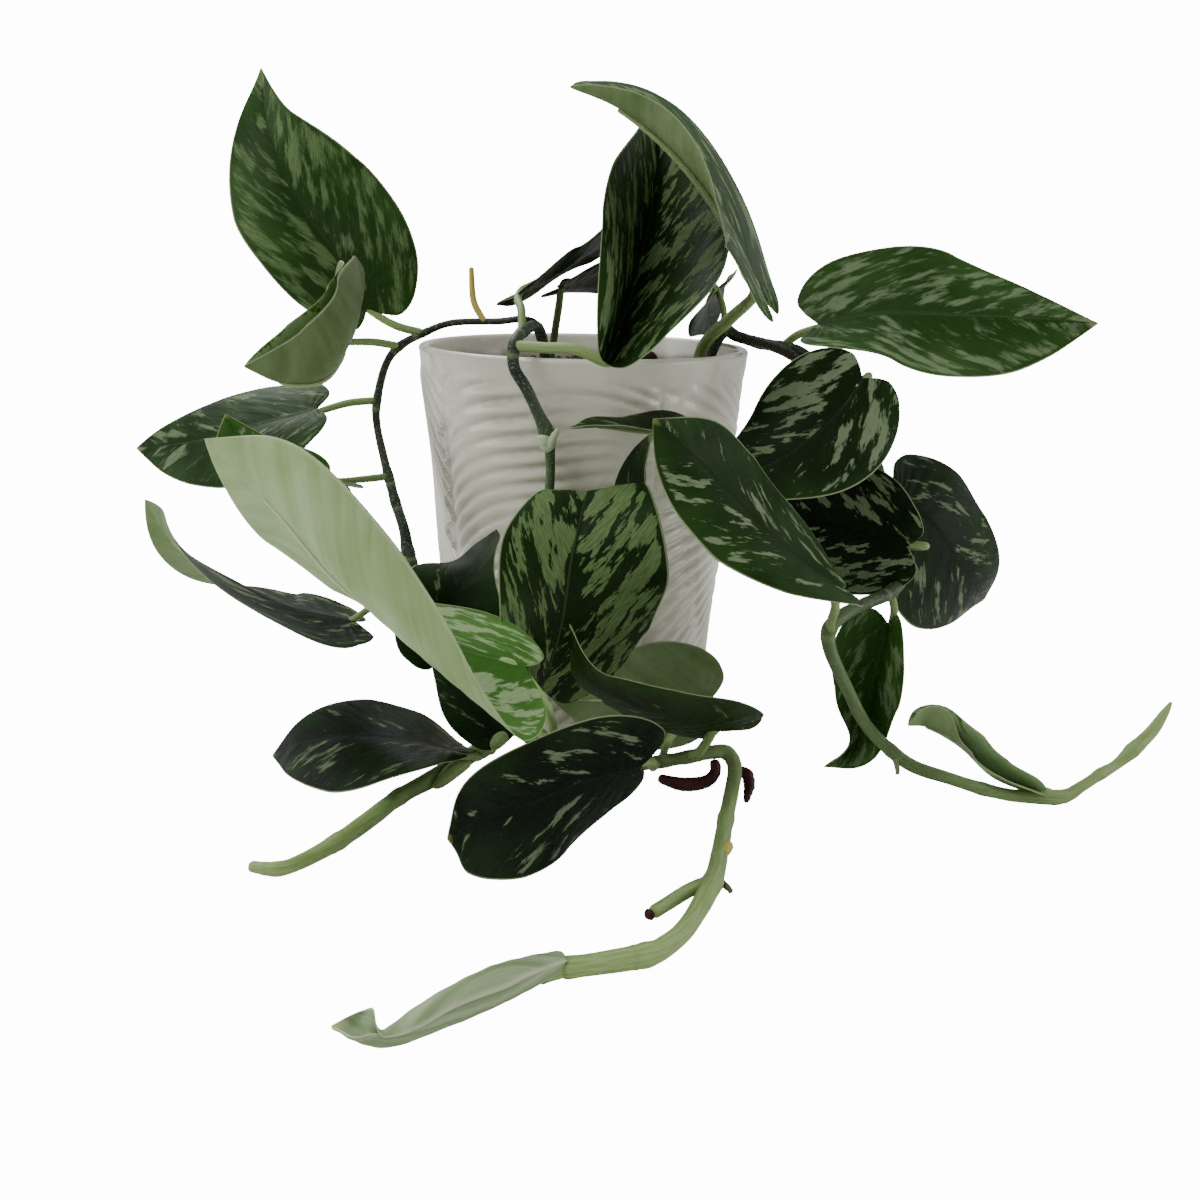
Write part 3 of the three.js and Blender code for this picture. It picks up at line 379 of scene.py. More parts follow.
        midrib=[[52, -5, 173], [50, 7, 168], [50, 19, 164], [52, 31, 159], [55, 42, 153]],
        faces=[[0.7, -0.6, -0.4], [0.7, -0.6, -0.4]], half=(15, 15),
        fold=[[9, 9], [10, 10]], curl=(-26, -8), look=(0.2, 0.3, 0.6, 0.4, 0.5)),
    "leaf_28": dict(
        stalk=[[2, -206, 3.4], [-2, -208, 3.6], [-6, -211, 4]], thick=2.7,
        midrib=[[-4, -210, 2.5], [-16, -220, 1.8], [-29, -230, 1.6], [-42, -238, 1.8], [-54, -238, 7]],
        faces=[[0.1, 0.2, 1], [0.2, 0.3, 0.9]], half=(11.5, 21),
        fold=[[5, 5], [5, 5]], curl=(150, 245), look=(0.9, 0, 0, 1, 0.5), rolled=True),
}
print("leaves:", len(LEAVES))

# %% [markdown]
# ## Curves
#
# A Catmull-Rom curve goes through its points, and each stretch is a cubic whose slope at a
# point is half the step between its two neighbours. The same rule shaped the solids, so the
# finer surfaces lie on them.

# %% Curves through points
def curve(points, t):
    """Points of the Catmull-Rom curve at t from 0 to 1. On each stretch, with slopes a and b
    at its ends p and q, the place is p + a w + (3q - 3p - 2a - b) w^2 + (2p - 2q + a + b) w^3."""
    points = np.asarray(points, float)
    last = len(points) - 1
    i = np.clip((np.asarray(t) * last).astype(int), 0, last - 1)
    w = (np.asarray(t) * last - i)[..., None]
    ends = np.vstack([2 * points[0] - points[1], points, 2 * points[-1] - points[-2]])
    before, p, q, after = ends[i], ends[i + 1], ends[i + 2], ends[i + 3]
    a, b = (q - before) / 2, (after - p) / 2
    return p + a * w + (3 * q - 3 * p - 2 * a - b) * w ** 2 + (2 * p - 2 * q + a + b) * w ** 3


def even_curve(points, count):
    """Points at even distances along the curve, all their numbers, and the distances."""
    fine = curve(points, np.linspace(0, 1, 60 * len(points)))
    run = np.r_[0, np.cumsum(np.linalg.norm(np.diff(fine[:, :3], axis=0), axis=1))]
    stops = np.linspace(0, run[-1], count)
    return np.stack([np.interp(stops, run, column) for column in fine.T], -1), stops


print("a stem is", round(even_curve(VINES["vine_left"], 50)[1][-1]), "mm long")

# %% Directions across a curve
def unit(v):
    """Each vector divided by its length."""
    return v / np.maximum(np.linalg.norm(v, axis=-1, keepdims=True), 1e-9)


def cross_frames(places):
    """Two directions across the curve at each place, which turn with it and never twist:
    each is the last one with its part along the new direction taken away."""
    along = unit(np.gradient(places, axis=0))
    side = unit(np.cross(along[0], [0.3, -0.5, 0.8]))
    sides = []
    for direction in along:
        side = unit(side - direction * side.dot(direction))
        sides.append(side)
    sides = np.array(sides)
    return along, sides, np.cross(along, sides)


# %% A tube with rounded ends
def tube(points, sides=14, step=0.8, swell=None, groove=0.0, skin=0, shift=0.0, **values):
    """A tube along points [x, y, z, radius]: centre + radius (cos a side + sin a other).
    Over the last radius at each end it closes like a ball: sqrt(1 - (1 - d/r)^2). swell
    gives a factor for the distances along it. groove is the depth of a rounded channel, as
    a share of the radius. The veins map has the distance in cm and the way round."""
    rough_length = np.linalg.norm(np.diff(np.array(points)[:, :3], axis=0), axis=1).sum()
    count = max(8, int(rough_length / step))
    rows, run = even_curve(points, count)
    left = np.minimum(run, run[-1] - run)
    radius = rows[:, 3] * np.sqrt(1 - (1 - np.clip(left / rows[:, 3], 0, 1)) ** 2)
    if swell is not None:
        radius = radius * swell(run)
    _, side, other = cross_frames(rows[:, :3])
    angle = np.linspace(0, 2 * np.pi, sides, endpoint=False)
    channel = np.exp(-((angle - np.pi / 2) / 0.5) ** 2)     # half a radian to each side
    ring = radius[:, None] * (1 - groove * channel)
    points = rows[:, None, :3] + (ring * np.cos(angle))[..., None] * side[:, None] \
        + (ring * np.sin(angle))[..., None] * other[:, None]
    columns = {k: v(run) if callable(v) else np.full(count, v) for k, v in values.items()}
    columns = {k: np.repeat(column, sides) for k, column in columns.items()}
    run, around = run[:, None], np.minimum(angle, 2 * np.pi - angle)[None] / np.pi
    return surface(points, grid_faces(count, sides, wrap=True), skin,
                   veins=(run / 10 + shift, around), place=(run / run[-1], around), **columns)


test = tube([[0, 0, 0, 2], [0, 0, 10, 2], [4, 0, 20, 1]])
print("tube:", len(test["points"]), "points,", len(test["faces"]), "faces")

# %% [markdown]
# ## The pot
#
# The pot is slip-cast porcelain: liquid clay sets against a plaster mould, so the wall is
# one even thickness and the relief of palm fronds stands up softly from it. The profile is
# turned round the axis on a fine grid, and the relief pushes the wall's points outwards.
# A relief in the mesh catches the light at the outline as well as on the face, which a bump
# map can't do.

# %% Pot sizes
POT_HEIGHT, POT_TOP, POT_FOOT, POT_WALL, POT_FLOOR = 150, 65, 52, 4, 5
LIP_ROUND, FOOT_ROUND = 1.6, 2.5
CORNER = 3                      # size of the cut corner between wall and floor inside
SOLE = 6                        # a row of points this far in keeps the underside flat
POT_SIDES, WALL_ROWS, INNER_ROWS = 480, 150, 14


def wall_radius(height):
    """The straight taper from foot to lip."""
    return POT_FOOT + (POT_TOP - POT_FOOT) * height / POT_HEIGHT


lean = np.degrees(np.arctan((POT_TOP - POT_FOOT) / POT_HEIGHT))
print("wall leans out", round(lean, 1), "degrees")

# %% The layout of the relief
RELIEF = 1.7                    # height of the ribs over the ground of the relief
SUNK = 0.35                     # how far that ground lies below the wall, in rib heights
PLAIN_LIP, PLAIN_FOOT = 143, 6  # the relief lies between these heights
FADE = 5                        # how far inside them it has its full height
EDGE_RISE = 5                   # degrees inside a frond's edge where its ribs have theirs
# One row per frond. start and end are its edges in degrees to the right of the front. Its
# ribs draw together, to pull of their spacing, at the height hub of its right edge where
# side is 1, and of its left edge where side is -1. fall is their slope, and bow is how
# much steeper they are after 50 mm.
FRONDS = [
    dict(start=-112, end=-54, side=1, hub=70, pull=1.0, fall=1.3, bow=0, spacing=8),
    dict(start=-54, end=27, side=1, hub=100, pull=0.62, fall=-0.8, bow=0.55, spacing=7.5),
    dict(start=27, end=84, side=1, hub=92, pull=0.5, fall=-0.15, bow=0.2, spacing=8),
    dict(start=84, end=140, side=1, hub=60, pull=0.5, fall=-0.4, bow=0, spacing=8),
    dict(start=140, end=196, side=-1, hub=100, pull=0.45, fall=0.3, bow=0, spacing=8),
    dict(start=196, end=248, side=1, hub=80, pull=1.0, fall=0.9, bow=0, spacing=8),
]
# The wavy stalk of the left frond: its angle, half its width, how high it stands in rib
# heights, and where it ends.
STALK_ANGLE, STALK_HALF, STALK_RISE, STALK_ENDS = -58, 1.1, 1.1, (74, 124)
print("fronds:", len(FRONDS))

# %% The relief of fronds
def rib_wave(phase):
    """A row of rounded ribs with narrow valleys: the root of a raised cosine."""
    return np.sqrt(0.5 + 0.5 * np.cos(2 * np.pi * phase))


def frond_ribs(degrees, height, start, end, side, hub, pull, fall, bow, spacing):
    """The ribs of one frond, 0 outside it, at an angle right of the front and a height.
    They follow the level lines of hub + (z - hub)/(pull + (1 - pull) far) + fall a +
    bow a^2/100, with far from 0 at the hub to 1 at the other edge, and a in mm along the
    wall. Slow waves bend the ribs and make them lower in places and where they crowd."""
    turn, width = (degrees - start) % 360, end - start
    t = turn / width
    far = np.clip(np.where(side > 0, 1 - t, t), 0, 1)
    arc = np.radians(turn) * wall_radius(height)
    draw = pull + (1 - pull) * far
    level = hub + (height - hub) / draw + fall * arc + bow * arc ** 2 / 100
    bend = 3 * np.sin(height / 23 + start) + 1.5 * np.sin(arc / 11 + height / 31)
    uneven = 0.66 + 0.34 * np.sin(height / 17 + arc / 9 + start)
    crowded = np.clip(1.6 * draw - 0.4, 0.2, 1)
    edge = np.sqrt(np.clip(np.minimum(t, 1 - t) * width / EDGE_RISE, 0, 1))
    return rib_wave((level + bend) / spacing) * edge * uneven * crowded


def carved_band(height):
    """1 where the wall is carved, falling to 0 at the plain lip and foot."""
    return np.clip((PLAIN_LIP - height) / FADE, 0, 1) * np.clip((height - PLAIN_FOOT) / FADE, 0, 1)


def pot_relief(degrees, height):
    """Height of the relief: the fronds' ribs, or where it is higher the stalk, a ridge
    exp(-(d/half)^2) with d in mm from a line that waves twice, quickly and slowly."""
    ribs = sum(frond_ribs(degrees, height, **frond) for frond in FRONDS)
    line = STALK_ANGLE + 2.6 * np.sin(height / 1.9) + 2 * np.sin(height / 13)
    away = np.radians(degrees - line) * wall_radius(height)
    low, high = STALK_ENDS
    stalk = np.exp(-(away / STALK_HALF) ** 2) * ((height > low) & (height < high))
    return RELIEF * np.maximum(ribs, STALK_RISE * stalk) * carved_band(height)


relief_map = pot_relief(*np.meshgrid(np.arange(0, 360, 2.0), np.arange(150.0)))
print("relief runs up to", round(float(relief_map.max()), 2), "mm")

# %% The pot's profile
def quarter(x, z, radius, start, end, count=7):
    """Points of an arc round (x, z) from one angle to another, in degrees."""
    a = np.radians(np.linspace(start, end, count))
    return np.stack([x + radius * np.cos(a), z + radius * np.sin(a)], -1)


def wall_line(start, end, count, inset=0.0):
    """Points up or down the wall, or the inset inside of it."""
    z = np.linspace(start, end, count)
    return np.stack([wall_radius(z) - inset, z], -1)


# Rows of the walls end a little before each rounding, so that smooth shading turns only there.
lip = POT_HEIGHT - LIP_ROUND
foot_edge = POT_FOOT - FOOT_ROUND
floor_edge = wall_radius(POT_FLOOR) - POT_WALL
sole = [[0, 0], [foot_edge - SOLE, 0]]
foot = np.concatenate([sole, quarter(foot_edge, FOOT_ROUND, FOOT_ROUND, -90, 0)])
outside = wall_line(FOOT_ROUND + 1.5, lip - 1, WALL_ROWS)
inside = np.concatenate([
    quarter(POT_TOP - LIP_ROUND, lip, LIP_ROUND, 0, 90),
    quarter(POT_TOP - POT_WALL + LIP_ROUND, lip, LIP_ROUND, 90, 180),
    wall_line(lip - 2, POT_FLOOR + CORNER, INNER_ROWS, POT_WALL),
    [[floor_edge - CORNER, POT_FLOOR], [0, POT_FLOOR]]])
profile = np.concatenate([foot, outside, inside])
carved = np.repeat([0, 1, 0], [len(foot), len(outside), len(inside)])[:, None]
print("profile:", len(profile), "points, carved on", int(carved.sum()))

# %% The pot's surface
turn = np.linspace(0, 2 * np.pi, POT_SIDES, endpoint=False)
first = FRONDS[0]["start"]
degrees = (np.degrees(turn)[None] - first) % 360 + first
height = profile[:, 1:]
radius = profile[:, :1] + carved * (pot_relief(degrees, height) - SUNK * RELIEF * carved_band(height))
rings = np.broadcast_arrays(radius * np.sin(turn), -radius * np.cos(turn), height)
pot_points = np.stack(rings, -1)
print("pot grid:", pot_points.shape)

# %% [markdown]
# ### Glazed porcelain
#
# Slip-cast porcelain, dipped in a clear glaze and fired. The body is a warm white and the
# glaze a smooth glass over it, so highlights are sharp. The colour is darkened in the
# valleys of the relief by painted shade, where an occlusion node finds them closed in. An
# IOR of 1.52 is that of a soda-lime glaze.

# %% Porcelain material
porcelain, add = new_material("glazed_porcelain")
where = add("TexCoord", output="Object")
cloud = add("TexNoise", add("VectorMath.DIVIDE", where, 3 * [40 * MM]), in_Scale=1, in_Detail=3)
# Painted shade: the colour darkens in the valleys of the relief, where the occlusion node finds them closed
# in.
painted_valley_shade = add("AmbientOcclusion", samples=4, inside=False, in_Distance=6 * MM, output="AO")
body = add("Mix.RGBA", add("MapRange.SMOOTHSTEP", cloud, 0.35, 0.65), "dfdbc9", "e9e5d5")
body = add("Mix.RGBA", add("MapRange.SMOOTHSTEP", painted_valley_shade, 0.55, 1.0), "7f7868", body)
wave = add("TexNoise", add("VectorMath.DIVIDE", where, 3 * [12 * MM]), in_Scale=1)
ripple = add("Bump", in_Height=wave, in_Strength=0.05, in_Distance=MM)
add("OutputMaterial", add("BsdfPrincipled", in_Base_Color=body, in_Normal=ripple,
                          in_Roughness=0.12, in_IOR=1.52))

pot = make_piece("pot_glazed", [surface(pot_points, grid_faces(len(profile), POT_SIDES, wrap=True))],
                 [porcelain], "pot")
print("pot:", len(pot.data.polygons), "faces")

# %% [markdown]
# ## The soil
#
# Potting mix is peat with bits of bark. It fills the pot to 11 mm below the rim and stands
# up a little in the middle. The top is a polar grid with waves of noise, and small lumps,
# each a ball of a few dozen faces pulled out of round, lie on it.

# %% The ground
SOIL_TOP, SOIL_BOTTOM = 139, 5.3
SOIL_GAP = 0.7                  # between the soil and the pot's wall
DOME = 2                        # how much higher the middle is than the edge
SOIL_SIDES = 150


def soil_radius(height):
    """The pot's inner wall less the gap."""
    return wall_radius(height) - POT_WALL - SOIL_GAP


def dome(share):
    """Height of the smooth ground at a share s of the radius: top + 2 (1 - s^2)."""
    return SOIL_TOP + DOME * (1 - share ** 2)


def lumps(x, y):
    """Uneven ground: three crossed waves and finer ones, up to about 1 mm each way."""
    broad = np.sin(x / 5.1 + 1.3 * np.sin(y / 7)) * np.sin(y / 4.3 + 1)
    fine = np.sin(x / 1.7 + y / 2.3) * np.sin(y / 1.3 - x / 2.9)
    return 0.8 * broad + 0.35 * fine


def polar(radius, angle, height):
    """A grid of points at radii, angles and heights round the upright axis."""
    return np.stack(np.broadcast_arrays(radius * np.cos(angle), radius * np.sin(angle), height), -1)


soil_edge = soil_radius(SOIL_TOP)
share = np.r_[0, np.linspace(0.02, 1, 60)][:, None]
around = np.linspace(0, 2 * np.pi, SOIL_SIDES, endpoint=False)[None]
level = np.minimum(1, share / 0.02) * np.minimum(1, (1 - share) / 0.03)   # 0 at the centre and the edge
rough_ground = lumps(share * soil_edge * np.cos(around), share * soil_edge * np.sin(around)) * level
top_grid = polar(share * soil_edge, around, dome(share) + rough_ground)
bottom_grid = polar(np.array([[0], [soil_radius(SOIL_BOTTOM)]]), around, SOIL_BOTTOM)
soil_grid = np.concatenate([bottom_grid, top_grid[::-1]])
print("soil grid:", soil_grid.shape)

# %% Crumbs on the soil
CRUMBS, CRUMB_RINGS, CRUMB_SIDES = 260, 7, 8
rng = np.random.default_rng(11)
each = (CRUMBS, 1, 1, 3)        # three numbers for each crumb, the same at all its points
share = np.sqrt(rng.uniform(0, 0.93, CRUMBS))
bearing = rng.uniform(0, 2 * np.pi, CRUMBS)
size = rng.gamma(3, 0.35, (CRUMBS, 1, 1, 1)) * rng.uniform(0.6, 1.3, each) + 0.5
tilt = np.linspace(0, np.pi, CRUMB_RINGS)[:, None]
around = np.linspace(0, 2 * np.pi, CRUMB_SIDES, endpoint=False)[None]
ball = polar(np.sin(tilt), around, np.cos(tilt))
waves = np.sin(ball * rng.uniform(2, 5, each) + rng.uniform(0, 6, each))
wobble = 1 + 0.25 * waves.sum(-1, keepdims=True) / 2
centres = polar(soil_edge * share, bearing, dome(share) + 0.2)
centres[:, 2] += lumps(centres[:, 0], centres[:, 1])
crumbs = ball * wobble * size + centres[:, None, None]
faces = grid_faces(CRUMB_RINGS, CRUMB_SIDES, wrap=True, flip=True)
crumb_faces = np.concatenate([faces + CRUMB_RINGS * CRUMB_SIDES * i for i in range(CRUMBS)])
print("crumbs:", CRUMBS, "of", round(float(size.mean()) * 2, 1), "mm")

# %% [markdown]
# ### Potting mix
#
# Damp peat and composted bark, sifted. It is dark, swallows light, and only the bark chips
# are a lighter brown.

# %% Potting mix material
peat, add = new_material("potting_mix")
where = add("TexCoord", output="Object")
grain = add("TexNoise", add("VectorMath.DIVIDE", where, 3 * [1.5 * MM]),
            in_Scale=1, in_Detail=4, in_Roughness=0.7)
chips = add("TexNoise", add("VectorMath.DIVIDE", where, 3 * [6 * MM]), in_Scale=1)
colour = add("Mix.RGBA", add("MapRange.SMOOTHSTEP", grain, 0.35, 0.7), "1d1510", "4a3626")
colour = add("Mix.RGBA", add("MapRange.SMOOTHSTEP", chips, 0.55, 0.72), colour, "6b503a")
crumbly = add("Bump", in_Height=grain, in_Strength=0.7, in_Distance=0.8 * MM)
add("OutputMaterial", add("BsdfPrincipled", in_Base_Color=colour, in_Normal=crumbly, in_Roughness=0.9))

soil = make_piece("soil_mix", [surface(soil_grid, grid_faces(len(soil_grid), SOIL_SIDES, wrap=True)),
                               surface(crumbs, crumb_faces)], [peat], "soil")
print("soil:", len(soil.data.polygons), "faces")

# %% [markdown]
# ## The stems
#
# A stem grows in zigzag steps, and each step ends in a node: a slight swelling with the
# ring-shaped scar of a leaf base. The tube follows the plan's points, and its radius gets a
# bulge and a fine ring wherever a leaf stalk starts, so the nodes are never out of place.
# Old stems near the pot are dark and corky, and the young ends are light green; that is
# kept as a number at each point of the mesh, which the material reads.

# %% Nodes and age along a stem
# Nodes that carry no leaf now, beside those where the leaf stalks start.
EXTRA_NODES = {
    "vine_left": [[52.4, -119, 4], [44, -161, 3.8], [22.7, -200.4, 3.9], [-71, -33, 92],
                  [54.8, -91, 15.6], [-63, -44, 70]],
    "vine_front": [[-59.7, -107, 3.4], [-73.8, -139, 3.4], [-89, -157, 3], [-11, -71, 125], [-22, -75, 155]],
    "vine_right": [[116, -80, 13], [147.9, -89.8, 3], [190, -88, 9], [204, -80, 15],
                   [90.5, -78, 58.5], [68, -14, 153]],
}
NODE_REACH = 4                  # a node belongs to the stem if it lies this near to it
# How old the skin is, from 0 to 1, at shares of a stem's length.
STEM_AGE = {
    "vine_left": ([0, 0.45, 0.52, 0.62, 0.8, 1], [0.95, 0.85, 0.6, 0.42, 0.25, 0.1]),
    "vine_front": ([0, 0.2, 0.3, 0.5, 0.62, 1], [0.95, 0.9, 0.74, 0.55, 0.35, 0.15]),
    "vine_right": ([0, 0.45, 0.55, 0.7, 1], [0.95, 0.8, 0.58, 0.38, 0.15]),
}


def node_distances(points, spots):
    """Distances along the curve at which it passes the spots that are near enough."""
    rows, run = even_curve(points, 1200)
    gaps = np.linalg.norm(rows[None, :, :3] - np.array(spots, float)[:, None], axis=-1)
    return run[gaps.argmin(1)][gaps.min(1) < NODE_REACH]


def near(run, nodes, width):
    """Near a node 1, falling away as a bell curve of that width: exp(-(d/width)^2)."""
    return np.exp(-((run[:, None] - nodes[None]) / width) ** 2).max(1)


leaf_spots = [leaf["stalk"][0] for leaf in LEAVES.values()]
nodes = {name: node_distances(points, leaf_spots + EXTRA_NODES[name]) for name, points in VINES.items()}
print("nodes per stem:", {name: len(n) for name, n in nodes.items()})

# %% Short growths
# Cut stalks, buds, dried sheaths and a second length of stem: points with radii, the age
# of the skin, how brown and how yellow it is, and how ragged the sides are (0 if not given).
SHOOTS = [
    dict(stem="vine_left", age=0.1, yellow=0.9,
         points=[[-38, -10, 158.5, 1.2], [-40, -9, 161, 1.3], [-43, -7, 167, 1.3], [-44, -4, 179, 1.0]]),
    dict(stem="vine_left", age=0.2,
         points=[[45, -158, 3.2, 2], [37, -166, 4, 2.2], [30, -174.7, 4.5, 2.1], [25, -180.4, 4.5, 2.1]]),
    dict(stem="vine_left", age=0.5, brown=1.0, ragged=0.1,
         points=[[25.3, -180, 4.5, 2.0], [24.3, -181.1, 4.5, 1.9], [23.6, -182, 4.5, 1.4]]),
    dict(stem="vine_left", age=0.9, brown=1.0, ragged=0.1,
         points=[[58, -95, 10.5, 1.6], [61.5, -96, 10, 2.2], [62.5, -98, 7, 2.1], [62, -100, 5, 1.7],
                 [61, -103, 2, 0.9]]),
    dict(stem="vine_left", age=0.9, brown=0.9, ragged=0.04,
         points=[[50, -94, 14.5, 1.9], [50.5, -96, 10.5, 2.0], [47, -98, 7.5, 2.3], [39, -99, 6.8, 2.5],
                 [30, -100, 9.5, 1.6]]),
    dict(stem="vine_left", age=0.4, brown=0.7, yellow=0.2, ragged=0.1,
         points=[[46, -158, 3.2, 1.4], [49, -161, 2.2, 1], [50, -163, 1.6, 0.8]]),
    dict(stem="vine_left", age=0.1, yellow=0.9, ragged=0.05,
         points=[[51.6, -138, 4.6, 1.4], [50.6, -141, 5.0, 1.9], [49.4, -145, 4.8, 1.4]]),
    dict(stem="vine_front", age=0.0, yellow=0.45, ragged=0.06,
         points=[[-10.7, -71, 118.5, 1.9], [-11.2, -71.6, 122, 2.6], [-12.3, -72, 126, 2.9]]),
    dict(stem="vine_front", age=0.0, yellow=0.5, ragged=0.08,
         points=[[-10.5, -71.8, 119.5, 1.5], [-9.3, -73, 123, 1.7], [-7, -73.8, 127.5, 0.6]]),
    dict(stem="vine_front", age=0.2, yellow=0.1, ragged=0.03,
         points=[[-38.5, -80, 6, 2.6], [-43.5, -89, 5.2, 2.9], [-47, -96, 4.2, 2.2], [-49, -99, 3.4, 0.8]]),
    dict(stem="vine_front", age=0.3, brown=0.8, yellow=0.2, ragged=0.1,
         points=[[-41.5, -79, 8, 0.9], [-41.8, -79.5, 10.5, 1.1], [-41.2, -80, 12.5, 0.7]]),
    dict(stem="vine_right", age=1.0, brown=0.3, ragged=0.05,
         points=[[59, -9, 155.5, 1.6], [70, -18, 153, 1.9], [79, -24, 149.5, 1.9], [84, -28, 144, 1.2]]),
    dict(stem="vine_right", age=0.3, brown=0.3, yellow=0.3,
         points=[[117, -80, 12, 1.2], [118, -83, 8, 1], [118, -85, 5.5, 0.7]]),
]
print("short growths:", len(SHOOTS))

# %% [markdown]
# ### Stem skin
#
# A living epidermis with a thin waxy cuticle: semi-matt, with fine lengthwise streaks, a
# corky bloom of pale dots when old, and a straw-coloured scar at each node. An IOR of 1.42
# is that of plant wax.

# %% Stem skin: maps and patterns
stem_skin, add = new_material("stem_skin")
where = add("TexCoord", output="Object")
map_cm = add("UVMap", uv_map="veins")
age, node_near, brown, yellow = [add("Attribute", attribute_name=name, output="Fac")
                                 for name in ("age", "node", "brown", "yellow")]
streak = add("TexNoise", add("VectorMath.DIVIDE", map_cm, (1.2, 0.09, 1)), in_Scale=1)
dots = add("TexNoise", add("VectorMath.DIVIDE", where, 3 * [0.7 * MM]), in_Scale=1, in_Detail=1)
patch = add("TexNoise", add("VectorMath.DIVIDE", where, 3 * [9 * MM]), in_Scale=1)
print("streaks 12 mm long and 0.9 mm wide, dots of 0.7 mm")

# %% Stem skin: colours
young = add("Mix.RGBA", add("MapRange.SMOOTHSTEP", streak, 0.3, 0.7), "86a05c", "9fb678")
middle = add("Mix.RGBA", add("MapRange.SMOOTHSTEP", streak, 0.3, 0.7), "5b7346", "6d8557")
old = add("Mix.RGBA", add("MapRange.SMOOTHSTEP", patch, 0.35, 0.65), "262e27", "3c4638")
colour = add("Mix.RGBA", add("MapRange.SMOOTHSTEP", age, 0.1, 0.5), young, middle)
colour = add("Mix.RGBA", add("MapRange.SMOOTHSTEP", age, 0.5, 0.9), colour, old)
corky = add("Math.MULTIPLY", add("MapRange.SMOOTHSTEP", dots, 0.6, 0.66),
            add("MapRange.SMOOTHSTEP", age, 0.3, 0.8))
colour = add("Mix.RGBA", add("Math.MULTIPLY", corky, 0.5), colour, "8a9a76")
colour = add("Mix.RGBA", add("Math.MULTIPLY", node_near, 0.55), colour, "8d9a6c")
colour = add("Mix.RGBA", add("MapRange.SMOOTHSTEP", yellow, 0.0, 0.5), colour, "b9c79d")
colour = add("Mix.RGBA", add("MapRange.SMOOTHSTEP", yellow, 0.5, 1.0), colour, "c4b04a")
colour = add("Mix.RGBA", brown, colour, add("Mix.RGBA", patch, "16090c", "5a1c22"))
skin_height = add("Math.ADD", add("Math.MULTIPLY", streak, 0.5), add("Math.MULTIPLY", dots, age))
relief = add("Bump", in_Height=skin_height, in_Strength=0.3, in_Distance=0.4 * MM)
add("OutputMaterial", add("BsdfPrincipled", in_Base_Color=colour, in_Normal=relief,
                          in_Roughness=0.5, in_IOR=1.42, in_Specular_IOR_Level=0.35))
print("stem skin:", len(stem_skin.node_tree.nodes), "nodes")

# %% Make the stems
BULGE, BULGE_WIDTH = 0.13, 2.4  # the swelling at a node, as a share of the radius
RING, RING_WIDTH = 0.07, 0.5    # the scar's ring, which is finer
RING_PAST = 3.4                 # how far the ring lies beyond the node
SCAR_WIDTH = 0.7                # how far along the stem the scar's colour reaches


def stem_surface(name):
    """The main tube: radius x (1 + 0.13 bulge + 0.07 ring just past the node), with low
    waves sin(d/7) sin(d/3.1) between the nodes."""
    spots = nodes[name]
    swell = lambda run: 1 + BULGE * near(run, spots, BULGE_WIDTH) \
        + RING * near(run, spots + RING_PAST, RING_WIDTH) + 0.02 * np.sin(run / 7) * np.sin(run / 3.1)
    shares, ages = STEM_AGE[name]
    total = even_curve(VINES[name], 10)[1][-1]
    return tube(VINES[name], sides=18, step=0.7, swell=swell,
                age=lambda run: np.interp(run / total, shares, ages),
                node=lambda run: near(run, spots + RING_PAST, SCAR_WIDTH))


def shoot_surface(shoot):
    """A short growth: a tube, with sides made ragged by two sines of the distance."""
    torn, start = shoot.get("ragged", 0), shoot["points"][0][0]
    swell = lambda run: 1 + torn * (np.sin(run * 2.9 + start) + np.sin(run * 6.7)) / 2
    return tube(shoot["points"], sides=14, step=0.4, swell=swell, age=shoot["age"],
                brown=shoot.get("brown", 0), yellow=shoot.get("yellow", 0))


for name in VINES:
    surfaces = [stem_surface(name)] + [shoot_surface(shoot) for shoot in SHOOTS if shoot["stem"] == name]
    stem = make_piece(name + "_stem", surfaces, [stem_skin], name)
    print(stem.name, len(stem.data.polygons), "faces")

# %% [markdown]
# ## The leaves
#
# A blade is one formula for all leaves. Its rays run from the midrib to the margin, as the
# side veins do, and its bands run across them. A ray starts at a station on the midrib and
# ends on a heart-shaped margin; between them it leans towards the tip. Across the blade the
# section is an arc: it leaves the midrib at the fold angle and turns by the curl angle on
# its way out, so one set of numbers makes a flat leaf, a folded one and a rolled one.
#
# The alternative is to bend a flat mesh with modifiers, but an arc keeps the true width of
# the blade, and the grid gives each point its place along the veins for nothing. The
# flecks need exactly that.

# %% The flat outline
# Where a ray meets the margin, along the midrib in midrib lengths and across it in half
# widths, and the station where it leaves the midrib.
MARGIN = [
    [0, 0, 0], [-0.05, 0.18, 0], [-0.07, 0.38, 0.01], [-0.02, 0.66, 0.03], [0.1, 0.9, 0.07], [0.27, 1, 0.15],
    [0.46, 0.94, 0.28], [0.65, 0.72, 0.45], [0.82, 0.42, 0.65], [0.93, 0.17, 0.83], [1, 0, 1]]
# The rolled leaf's rays run straight across, and it has a neck near its tip.
ROLLED_MARGIN = [
    [-0.1, 0.55, -0.1], [0.1, 0.85, 0.1], [0.25, 1, 0.25], [0.45, 0.92, 0.45],
    [0.65, 0.68, 0.65], [0.8, 0.36, 0.8], [0.9, 0.45, 0.9], [1, 0.02, 1]]
RAYS, BANDS = 88, 22
BAND_CROWD = 1.6                # how much closer the bands lie towards the margin
RAY_LEAN = 0.6                  # how early a ray turns towards the tip


